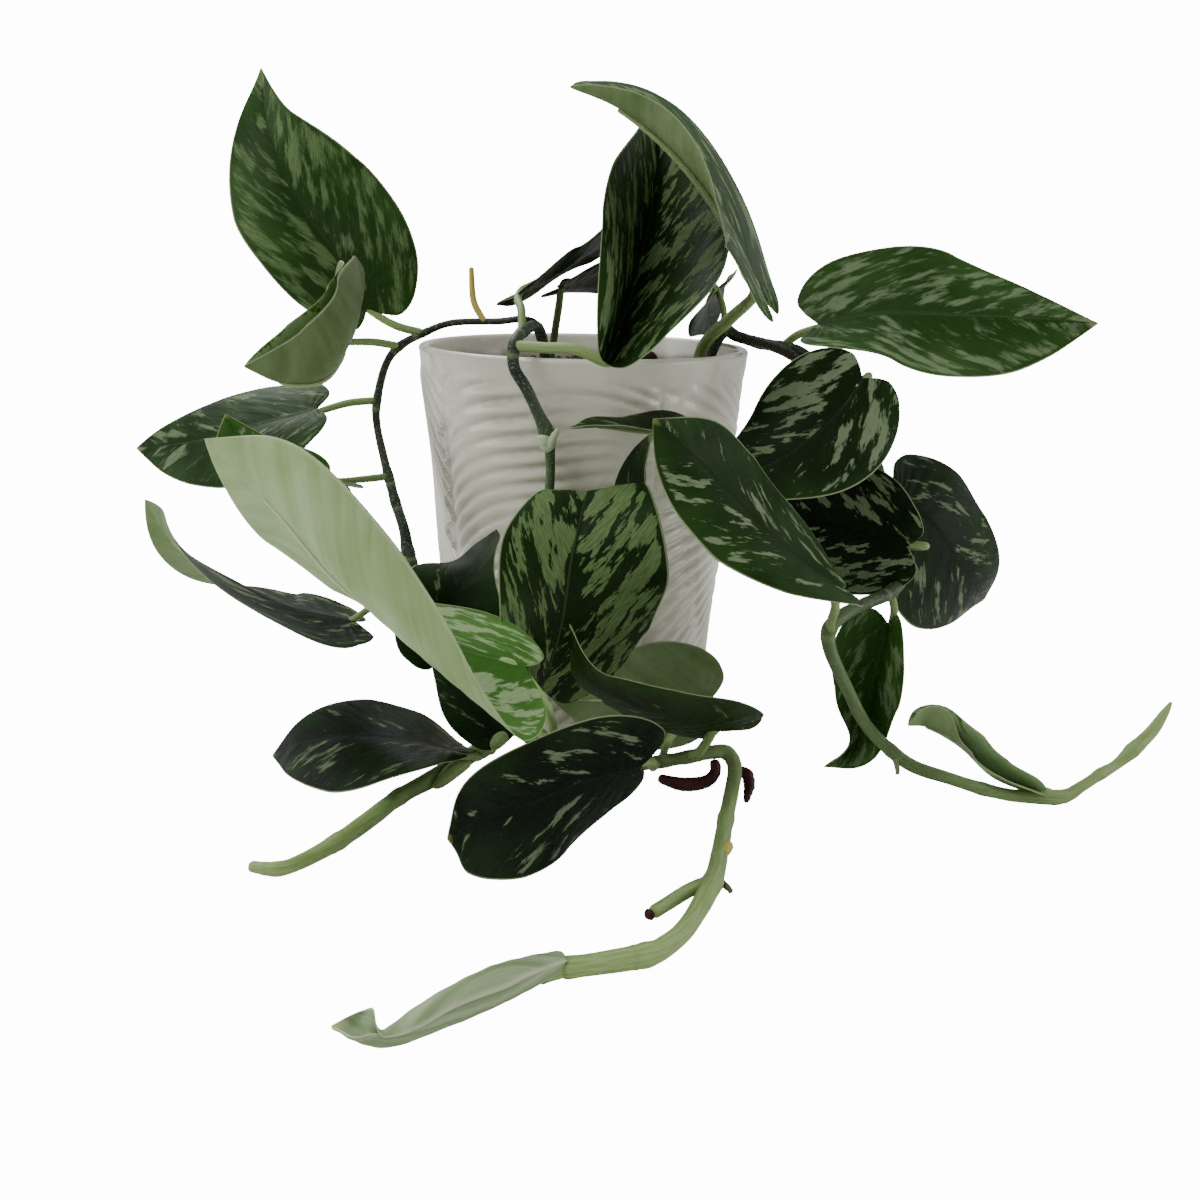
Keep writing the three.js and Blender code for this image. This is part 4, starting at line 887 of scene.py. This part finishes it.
def flat_blade(rolled):
    """The grid of rays and bands before it is bent: ray from 0 at the base to 1 at the tip,
    v = 1 - (1 - |t|)^1.6 from the midrib to the margin, the hand (1 left, -1 right), and
    the station and spread of each ray, worked out from the margin."""
    ray = np.linspace(0, 1, RAYS)[:, None]
    t = np.linspace(-1, 1, 2 * BANDS + 1)[None]
    v = 1 - (1 - np.abs(t)) ** BAND_CROWD
    reach, spread, root = (c[:, None] for c in curve(ROLLED_MARGIN if rolled else MARGIN, ray[:, 0]).T)
    station = root + (reach - root) * v * (RAY_LEAN + (1 - RAY_LEAN) * v)
    return ray, v, np.where(t < 0, 1, -1), station, spread


print("a blade has", RAYS * (2 * BANDS + 1), "points on each side, and its lobes reach",
      -min(m[0] for m in MARGIN), "of its length behind the base")

# %% The midrib
def midrib_plan(leaf):
    """Even stations along the midrib, with the direction along it and out of the upper
    side: the face direction with its part along the midrib taken away."""
    rows, run = even_curve(leaf["midrib"], 300)
    along = unit(np.gradient(rows, axis=0))
    face = curve(leaf["faces"], run / run[-1])
    up = unit(face - along * (face * along).sum(-1, keepdims=True))
    return dict({"rolled": False}, **leaf, length=run[-1], table=np.hstack([rows, along, up]))


def midrib_at(plan, station):
    """Place, along and up at stations. Behind the base the midrib runs on straight."""
    station = np.asarray(station, float)
    grid = np.linspace(0, 1, len(plan["table"]))
    columns = np.stack([np.interp(station, grid, c) for c in plan["table"].T], -1)
    place, along, up = columns[..., :3], unit(columns[..., 3:6]), unit(columns[..., 6:])
    return place + along * (np.minimum(station, 0) * plan["length"])[..., None], along, up


print("midrib of leaf_01:", round(midrib_plan(LEAVES["leaf_01"])["length"]), "mm")

# %% The bent section
LEAST_CURL = 0.1                # degrees, for a side without curl, as the formula divides by it
CREASE = 0.12                   # share of the way out over which the midrib's crease is soft
STILL_ROLLED, OPENED = 0.78, 0.92   # stations between which the rolled leaf opens
OPENING = 0.75                  # and the share of its turn that it loses there


def soft_step(x, low, high):
    """0 below low, 1 above high, and 3 s^2 - 2 s^3 between them."""
    s = np.clip((x - low) / (high - low), 0, 1)
    return s * s * (3 - 2 * s)


def bent_section(plan, v, hand, station, spread):
    """How far a point of the blade lies out from the midrib and up from it, and the slope
    there. With fold f, curl c and a from 0 at the midrib, in half widths:
    out = (sin(f + c a) - sin f)/c and lift = (cos f - cos(f + c a))/c. A rolled blade
    keeps its whole turn as it tapers, and opens only at its tip."""
    half = np.where(hand > 0, *plan["half"])
    inside = np.clip(station, 0, 1)
    left, right = (base + (tip - base) * inside for base, tip in plan["fold"])
    fold = np.radians(np.where(hand > 0, left, right))
    curl = np.radians(np.where(hand > 0, *[c or LEAST_CURL for c in plan["curl"]]))
    a, width = spread * v, half
    if plan["rolled"]:
        curl = curl * (1 - OPENING * soft_step(station, STILL_ROLLED, OPENED))
        a, width = v, half * spread
    out = (np.sin(fold + curl * a) - np.sin(fold)) / curl * width
    lift = (np.cos(fold) - np.cos(fold + curl * a)) / curl * width
    return out, lift, (fold + curl * a) * np.clip(v / CREASE, 0, 1)


print("opening at station 0.85:", round(float(soft_step(0.85, STILL_ROLLED, OPENED)), 2))

# %% Waves of the blade and the map of its veins
CUSHION, VEIN_GAP = 0.1, 6.5    # height of the low waves between side veins, and their spacing
MARGIN_WAVE = 0.5               # height of the longer waves at the margin
VEIN_REACH = 0.5                # how far a side vein gets towards the tip, in midrib lengths
VEIN_SLANT = 0.5                # sine of the angle between side veins and midrib


def blade_waves(length, number, ray, v, hand):
    """Low waves between the side veins, cos(2 pi d/6.5) sin(pi v) with d = 1.15 L ray, and
    longer ones that grow to the margin, sin(6.6 pi ray + phase) v^3 sin(pi ray), where
    each half has a phase of its own."""
    phase = np.where(hand > 0, *np.random.default_rng(number).uniform(0, 6, 2))
    cushions = CUSHION * np.cos(2 * np.pi * ray * length * 1.15 / VEIN_GAP) * np.sin(np.pi * v)
    return cushions + MARGIN_WAVE * np.sin(2 * np.pi * ray * 3.3 + phase) * v ** 3 * np.sin(np.pi * ray)


def vein_map(plan, number, a, hand, station):
    """The map of the veins in cm: the way along a side vein, and how far up the midrib that
    vein starts. A vein gets L/2 a^1.15 towards the tip while it runs out to a half widths.
    The numbers that are added give each leaf, and each half, its own part of the pattern."""
    half = np.where(hand > 0, *plan["half"])
    bow = VEIN_REACH * plan["length"] * a ** 1.15
    start = station * plan["length"] - bow
    return (np.hypot(bow, a * half) / 10 + 6.1 * number,
            start * VEIN_SLANT / 10 + np.where(hand > 0, 0, 3.7) + 1.3 * number)


print("side veins lean", round(float(np.degrees(np.arcsin(VEIN_SLANT)))), "degrees from the midrib")

# %% Both sides of a blade
BLADE = 0.7                     # thickness
CLOSING = 0.02                  # share of the rays over which it closes at its ends
LOOKS = ("tone", "silver", "clear", "pale", "frost")


def blade_surfaces(plan, number):
    """Upper and under side of a blade. They lie half a thickness off its middle, along the
    normal, and close to nothing at the margin, by sqrt(1 - v^12), and at both ends."""
    ray, v, hand, station, spread = flat_blade(plan["rolled"])
    out, lift, slope = bent_section(plan, v, hand, station, spread)
    lift = lift + blade_waves(plan["length"], number, ray, v, hand)
    place, along, up = midrib_at(plan, station)
    left = np.cross(up, along)
    middle = place + left * (hand * out)[..., None] + up * lift[..., None]
    normal = up * np.cos(slope)[..., None] - left * (hand * np.sin(slope))[..., None]
    ends = np.clip(np.minimum(ray, 1 - ray) / CLOSING, 0, 1)
    edge = np.sqrt(1 - v ** 12) * np.sqrt(ends)
    shift = normal * (edge * BLADE / 2)[..., None]
    veins = vein_map(plan, number, spread * v, hand, station)
    looks = dict(zip(LOOKS, plan["look"]))
    size = RAYS, 2 * BANDS + 1
    spot = np.broadcast_to(v, size), np.broadcast_to(ray, size)
    upper = surface(middle + shift, grid_faces(*size), 0, veins, spot, **looks)
    under = surface(middle - shift, grid_faces(*size, flip=True), 1, veins, spot, **looks)
    return [upper, under]


print("both sides of a blade carry", ", ".join(LOOKS))

# %% The stalk
RIB_STATIONS = np.linspace(0.02, 0.78, 12)
RIB_SUNK = 0.05                 # how far the rib's top lies under the middle of the blade
TURNS_PALE = 12                 # the stalk's colour becomes the rib's within this length


def stalk_surface(plan):
    """The stalk runs straight into the midrib just below the base, and on under the blade
    as a rib whose top stays inside the blade. At station s the rib's radius is 0.85 - 0.75 s
    of the stalk's, and it is as pale as the underside."""
    # The stalk's colour follows the underside's paleness, painted light and shade included.
    pale = plan["look"][LOOKS.index("pale")]
    place, _, up = midrib_at(plan, RIB_STATIONS)
    radius = plan["thick"] * (0.85 - 0.75 * RIB_STATIONS)
    if plan["rolled"]:
        rib = np.column_stack([place, 0.2 * radius])
    else:
        rib = np.column_stack([place - up * (radius + RIB_SUNK)[:, None], radius])
    stalk = np.insert(np.array(plan["stalk"], float), 3, plan["thick"], axis=1)
    reach = np.linalg.norm(np.diff(np.vstack([stalk, rib[:1]])[:, :3], axis=0), axis=1).sum()
    stretch = [0, reach, reach + TURNS_PALE]
    stalk_age, rib_age = 0.45 - 0.35 * pale, 0.25 - 0.25 * pale
    return tube(np.vstack([stalk, rib]), sides=12, step=0.9, groove=0.1, skin=2, shift=plan["length"],
                age=lambda run: np.interp(run, stretch, [stalk_age, stalk_age, rib_age]),
                yellow=lambda run: np.interp(run, stretch, [0, 0, 0.45 * pale ** 2]))


print("stalks run on under", RIB_STATIONS[-1], "of the midrib")

# %% [markdown]
# ### The upper side
#
# A satin leaf surface: the skin is slightly cushioned, so its gloss is broad. Where a layer
# of air lies under the skin the leaf looks silvery grey-green. Those flecks are 2 to 4 mm
# wide and 5 to 15 mm long, lie along the side veins and end in ragged steps. They are few
# along the midrib, which stays dark. A pale line runs round the margin.
#
# Five numbers tell one leaf from another: tone, how bright its green is, which is partly
# its own colour and partly painted light and shade; silver, how much of it is flecked;
# clear, how sharply the flecks stand out, which fades as a leaf ages; the grey of the
# flecks, a painted reflection of the bright sky; and pale, the lightness of its underside,
# which is also partly painted light and shade.
#
# The pattern is noise on the map of the veins, where one axis runs along a vein, so the
# flecks are stretched by dividing the two axes by different lengths in centimetres.

# %% Upper side: maps and numbers
leaf_upper, add = new_material("leaf_upper_satin")
where = add("TexCoord", output="Object")
veins = add("UVMap", uv_map="veins")
across, ray, _ = add("SeparateXYZ", add("UVMap", uv_map="place")).node.outputs
tone, silver, clear, frost = [add("Attribute", attribute_name=name, output="Fac")
                              for name in ("tone", "silver", "clear", "frost")]
print("the place map gives the way across in", across.name, "and the ray in", ray.name)

# %% Upper side: where the flecks lie
# A fleck lies where a cloud passes a limit. The limit falls as the leaf gets more silver,
# and rises near the midrib and at the margin, which are bare.
broad = add("TexNoise", add("VectorMath.DIVIDE", veins, (1.25, 0.42, 1)),
            in_Scale=1, in_Detail=4, in_Roughness=0.6)
fine = add("TexNoise", add("VectorMath.DIVIDE", veins, (0.5, 0.05, 1)), in_Scale=1, in_Detail=3)
cluster = add("TexNoise", add("VectorMath.DIVIDE", veins, (3.2, 1.5, 1)), in_Scale=1, in_Detail=1)
field = add("Math.MULTIPLY_ADD", add("Math.SUBTRACT", cluster, 0.5), 0.4, broad)
field = add("Math.MULTIPLY_ADD", add("Math.SUBTRACT", fine, 0.5), 0.12, field)
near_rib = add("Math.SUBTRACT", 1.0, add("MapRange.SMOOTHSTEP", across, 0.03, 0.3))
bare = add("Math.MULTIPLY_ADD", near_rib, 0.7, add("MapRange.SMOOTHSTEP", across, 0.9, 0.99))
limit = add("Math.MULTIPLY_ADD", bare, 0.14, add("Math.MULTIPLY_ADD", silver, -0.34, 0.69))
softness = add("Math.MULTIPLY_ADD", clear, -0.18, 0.2)
large = add("MapRange.SMOOTHSTEP", field, limit, add("Math.ADD", limit, softness))
speckle = add("TexNoise", add("VectorMath.DIVIDE", veins, (0.4, 0.13, 1)), in_Scale=1)
limit = add("Math.MULTIPLY_ADD", bare, 0.1, add("Math.MULTIPLY_ADD", silver, -0.12, 0.76))
small = add("MapRange.SMOOTHSTEP", speckle, limit, add("Math.ADD", limit, softness))
fleck = add("Math.MAXIMUM", large, small)
print("fleck patterns: 12.5 by 4.2 mm and 4 by 1.3 mm")

# %% Upper side: the green and the silver
shade = add("TexNoise", add("VectorMath.DIVIDE", where, 3 * [20 * MM]), in_Scale=1)
# Each leaf's tone lightens or darkens its whole green: partly its own colour, partly painted light and
# shade.
sun = add("Math.MULTIPLY", tone, tone)
deep = add("Mix.RGBA", sun, "081006", "44742a")
bright = add("Mix.RGBA", sun, "162c0e", "5a8b3c")
lit = add("Math.MULTIPLY", add("MapRange.SMOOTHSTEP", across, 0.1, 1.0),
          add("MapRange.SMOOTHSTEP", shade, 0.3, 0.7))
streaks = add("Math.MULTIPLY_ADD", add("MapRange.SMOOTHSTEP", fine, 0.4, 0.7), 0.25, lit)
ground = add("Mix.RGBA", streaks, deep, bright)
grey = add("Mix.RGBA", sun, "465c2c", "80a662")
light = add("Mix.RGBA", sun, "66824c", "a5c28a")
silvery = add("Mix.RGBA", add("MapRange.SMOOTHSTEP", fine, 0.3, 0.7), grey, light)
# Painted reflection: the grey veil that the bright sky lays on upturned leaves is painted into the flecks'
# colour, as strongly as each leaf's number says.
painted_sheen_grey = add("Mix.RGBA", sun, "7b896e", "a9bd95")
silvery = add("Mix.RGBA", add("Math.MULTIPLY", frost, 0.7), silvery, painted_sheen_grey)
share = add("Math.MULTIPLY", fleck, add("Math.MULTIPLY_ADD", clear, 0.5, 0.5))
colour = add("Mix.RGBA", share, ground, silvery)
print("green and silver:", len(leaf_upper.node_tree.nodes), "nodes so far")

# %% Upper side: midrib, margin, tip and skin
rib = add("Math.SUBTRACT", 1.0, add("MapRange.SMOOTHSTEP", across, 0.006, 0.03))
colour = add("Mix.RGBA", add("Math.MULTIPLY", rib, 0.5), colour, deep)
rim = add("MapRange.SMOOTHSTEP", across, 0.975, 0.992)
colour = add("Mix.RGBA", add("Math.MULTIPLY", rim, 0.75), colour, "a2b184")
tip = add("MapRange.SMOOTHSTEP", ray, 0.965, 0.995)
colour = add("Mix.RGBA", add("Math.MULTIPLY", tip, 0.5), colour, "9da45f")
vein_wave = add("TexNoise", add("VectorMath.DIVIDE", veins, (2.4, 0.3, 1)), in_Scale=1)
height = add("Math.MULTIPLY_ADD", fine, 0.2, add("Math.MULTIPLY_ADD", fleck, 0.15, vein_wave))
relief = add("Bump", in_Height=height, in_Strength=0.4, in_Distance=MM)
gloss = add("Math.MULTIPLY_ADD", fleck, 0.12, add("Math.MULTIPLY_ADD", shade, 0.12, 0.38))
add("OutputMaterial", add("BsdfPrincipled", in_Base_Color=colour, in_Normal=relief, in_Roughness=gloss,
                          in_IOR=1.42, in_Specular_IOR_Level=0.1))
print("upper side:", len(leaf_upper.node_tree.nodes), "nodes")

# %% [markdown]
# ### The underside
#
# Under the leaf the skin is matt and much paler, because the spongy tissue beneath it is
# full of air. The side veins show as faint ridges and lighter lines.

# %% Underside material
leaf_under, add = new_material("leaf_underside")
veins = add("UVMap", uv_map="veins")
where = add("TexCoord", output="Object")
across, _, _ = add("SeparateXYZ", add("UVMap", uv_map="place")).node.outputs
pale = add("Attribute", attribute_name="pale", output="Fac")
wide = add("TexNoise", add("VectorMath.DIVIDE", veins, (5.0, 0.45, 1)), in_Scale=1)
fine = add("TexNoise", add("VectorMath.DIVIDE", veins, (1.0, 0.06, 1)), in_Scale=1)
cloud = add("TexNoise", add("VectorMath.DIVIDE", where, 3 * [25 * MM]), in_Scale=1)
# Each leaf's pale number lightens or darkens its underside: partly its own colour, partly painted light and
# shade.
light = add("Math.MULTIPLY", pale, pale)
dull = add("Mix.RGBA", light, "293d19", "839d62")
fresh = add("Mix.RGBA", light, "3c5226", "b0c596")
vein_light = add("MapRange.SMOOTHSTEP", wide, 0.3, 0.7)
clouded = add("Math.MULTIPLY", add("MapRange.SMOOTHSTEP", cloud, 0.3, 0.7), 0.5)
colour = add("Mix.RGBA", add("Math.MULTIPLY_ADD", vein_light, 0.35, clouded), dull, fresh)
rib = add("Math.SUBTRACT", 1.0, add("MapRange.SMOOTHSTEP", across, 0.01, 0.05))
edge = add("Math.MAXIMUM", add("MapRange.SMOOTHSTEP", across, 0.97, 0.99), rib)
colour = add("Mix.RGBA", add("Math.MULTIPLY", edge, 0.5), colour, "b4c09a")
height = add("Math.MULTIPLY_ADD", fine, 0.15, wide)
relief = add("Bump", in_Height=height, in_Strength=0.45, in_Distance=MM)
add("OutputMaterial", add("BsdfPrincipled", in_Base_Color=colour, in_Normal=relief,
                          in_Roughness=0.6, in_IOR=1.42, in_Specular_IOR_Level=0.2))
print("underside:", len(leaf_under.node_tree.nodes), "nodes")

# %% [markdown]
# ### The young leaf
#
# The newest leaf is still rolled up lengthwise, with its underside out. It has no flecks
# yet, and its skin is pale and slightly waxy, with long streaks.

# %% Young leaf material
leaf_young, add = new_material("young_rolled_leaf")
veins = add("UVMap", uv_map="veins")
across, ray, _ = add("SeparateXYZ", add("UVMap", uv_map="place")).node.outputs
streak = add("TexNoise", add("VectorMath.DIVIDE", veins, (0.5, 4.0, 1)), in_Scale=1)
colour = add("Mix.RGBA", add("MapRange.SMOOTHSTEP", streak, 0.35, 0.65), "7f976a", "a3b58c")
rim = add("Math.MULTIPLY", add("MapRange.SMOOTHSTEP", across, 0.9, 0.98), 0.8)
colour = add("Mix.RGBA", rim, colour, "c3cba6")
colour = add("Mix.RGBA", add("MapRange.SMOOTHSTEP", ray, 0.93, 0.99), colour, "c9c483")
relief = add("Bump", in_Height=streak, in_Strength=0.3, in_Distance=0.6 * MM)
add("OutputMaterial", add("BsdfPrincipled", in_Base_Color=colour, in_Normal=relief,
                          in_Roughness=0.45, in_IOR=1.42))
print("young leaf:", len(leaf_young.node_tree.nodes), "nodes")

# %% Make the leaves
for number, (name, leaf) in enumerate(LEAVES.items(), 1):
    plan = midrib_plan(leaf)
    surfaces = blade_surfaces(plan, number) + [stalk_surface(plan)]
    skins, slot = [leaf_upper, leaf_under, stem_skin], "leaf"
    if plan["rolled"]:
        skins, slot = [leaf_young, leaf_young, stem_skin], "young_leaf"
    piece = make_piece(name + "_blade", surfaces, skins, name)
print("leaves:", number, "of", len(piece.data.polygons), "faces each")

# %% [markdown]
# ## Floor, light and camera
#
# A white studio: a wide pale floor, a white surrounding that fills the shadows and is
# brighter behind and at the sides, a large soft light above and behind on the left, which
# gives the leaves their rims, and a weaker one in front. Two low boards beside the pot put
# soft highlights on its glaze. The camera stands a little above the rim and looks down.

# %% Floor
WHITE = 14.0                    # how bright the white of the studio is to the eye
FLOOR_WHITE = 0.95 * WHITE      # and its floor, which stays a little darker
FLOOR, FLOOR_LEVEL = 6.0, -0.0003       # half its width, and just under what lies on it
floor_mesh = bpy.data.meshes.new("studio_floor")
corners = [(x * FLOOR, y * FLOOR, FLOOR_LEVEL) for x, y in ((-1, -1), (1, -1), (1, 1), (-1, 1))]
floor_mesh.from_pydata(corners, [], [(0, 1, 2, 3)])
floor = bpy.data.objects.new("studio_floor", floor_mesh)
bpy.context.scene.collection.objects.link(floor)
white_board, add = new_material("matt_white_board")
board = add("BsdfDiffuse", "efefee")
to_the_eye = add("LightPath", output="Is Camera Ray")
glow = add("Emission", "ffffff", add("Math.MULTIPLY", to_the_eye, FLOOR_WHITE))
add("OutputMaterial", add("AddShader", board, glow))
floor_mesh.materials.append(white_board)
print("floor:", 2 * FLOOR, "m wide")

# %% Surroundings
FRONT_FILL, BACK_FILL = 0.24, 0.65      # how bright the surroundings light the plant
SIDE_FILL = 0.45                        # and what is added at the sides
world = bpy.data.worlds.new("white_studio")
bpy.context.scene.world = world
world.use_nodes = True
world.node_tree.nodes.clear()
add = partial(add_node, world.node_tree)
x, y, _ = add("SeparateXYZ", add("TexCoord", output="Generated")).node.outputs
behind = add("MapRange.SMOOTHSTEP", y, -0.3, 0.9)
fill = add("Math.MULTIPLY_ADD", behind, BACK_FILL - FRONT_FILL, FRONT_FILL)
beside = add("MapRange.SMOOTHSTEP", add("Math.ABSOLUTE", x), 0.3, 0.9)
fill = add("Math.MULTIPLY_ADD", beside, SIDE_FILL, fill)
to_the_eye = add("LightPath", output="Is Camera Ray")
strength = add("Math.MULTIPLY_ADD", add("Math.SUBTRACT", WHITE, fill), to_the_eye, fill)
add("OutputWorld", add("Background", "ffffff", strength))
print("surroundings:", len(world.node_tree.nodes), "nodes")

# %% Lights
def axes_matrix(right, up, back, place):
    """The matrix of a lamp or camera, which looks away from back: its axes and its place
    are the columns."""
    return Matrix(np.vstack([np.column_stack([right, up, back, place]), [0, 0, 0, 1]]).tolist())


def soft_light(name, place, target, size, watts):
    """A square lamp of a size in metres that faces its target."""
    lamp = bpy.data.lights.new(name, "AREA")
    lamp.size, lamp.energy = size, watts
    light = bpy.data.objects.new(name, lamp)
    back = unit(np.array(place, float) - np.array(target, float))
    right = unit(np.cross([0, 0, 1], back))
    light.matrix_world = axes_matrix(right, np.cross(back, right), back, place)
    bpy.context.scene.collection.objects.link(light)


PLANT_MIDDLE, POT_MIDDLE = (0, -0.05, 0.1), (0, 0, 0.1)
soft_light("key_light", (-0.55, 0.75, 1.1), PLANT_MIDDLE, 0.9, 14)
soft_light("front_light", (-0.6, -0.65, 1.2), PLANT_MIDDLE, 0.5, 8)
soft_light("left_board", (-1.1, -0.1, 0.3), POT_MIDDLE, 0.6, 3)
soft_light("right_board", (1.1, -0.3, 0.15), POT_MIDDLE, 0.6, 4)

# %% Camera
CAMERA_PLACE = (0.0085, -0.482, 0.188)      # m
LOOK_DOWN, ROLL = np.radians(16.6), np.radians(1.18)
LENS, SENSOR = 35.7, 36                     # mm
ahead = np.array([0, np.cos(LOOK_DOWN), -np.sin(LOOK_DOWN)])
above = np.array([0, np.sin(LOOK_DOWN), np.cos(LOOK_DOWN)])
right = np.cos(ROLL) * np.array([1, 0, 0]) + np.sin(ROLL) * above
camera_data = bpy.data.cameras.new("camera")
camera_data.lens, camera_data.sensor_width, camera_data.clip_start = LENS, SENSOR, 0.01
camera = bpy.data.objects.new("camera", camera_data)
camera.matrix_world = axes_matrix(right, np.cross(right, ahead), -ahead, CAMERA_PLACE)
bpy.context.scene.collection.objects.link(camera)
bpy.context.scene.camera = camera
print("camera:", CAMERA_PLACE)
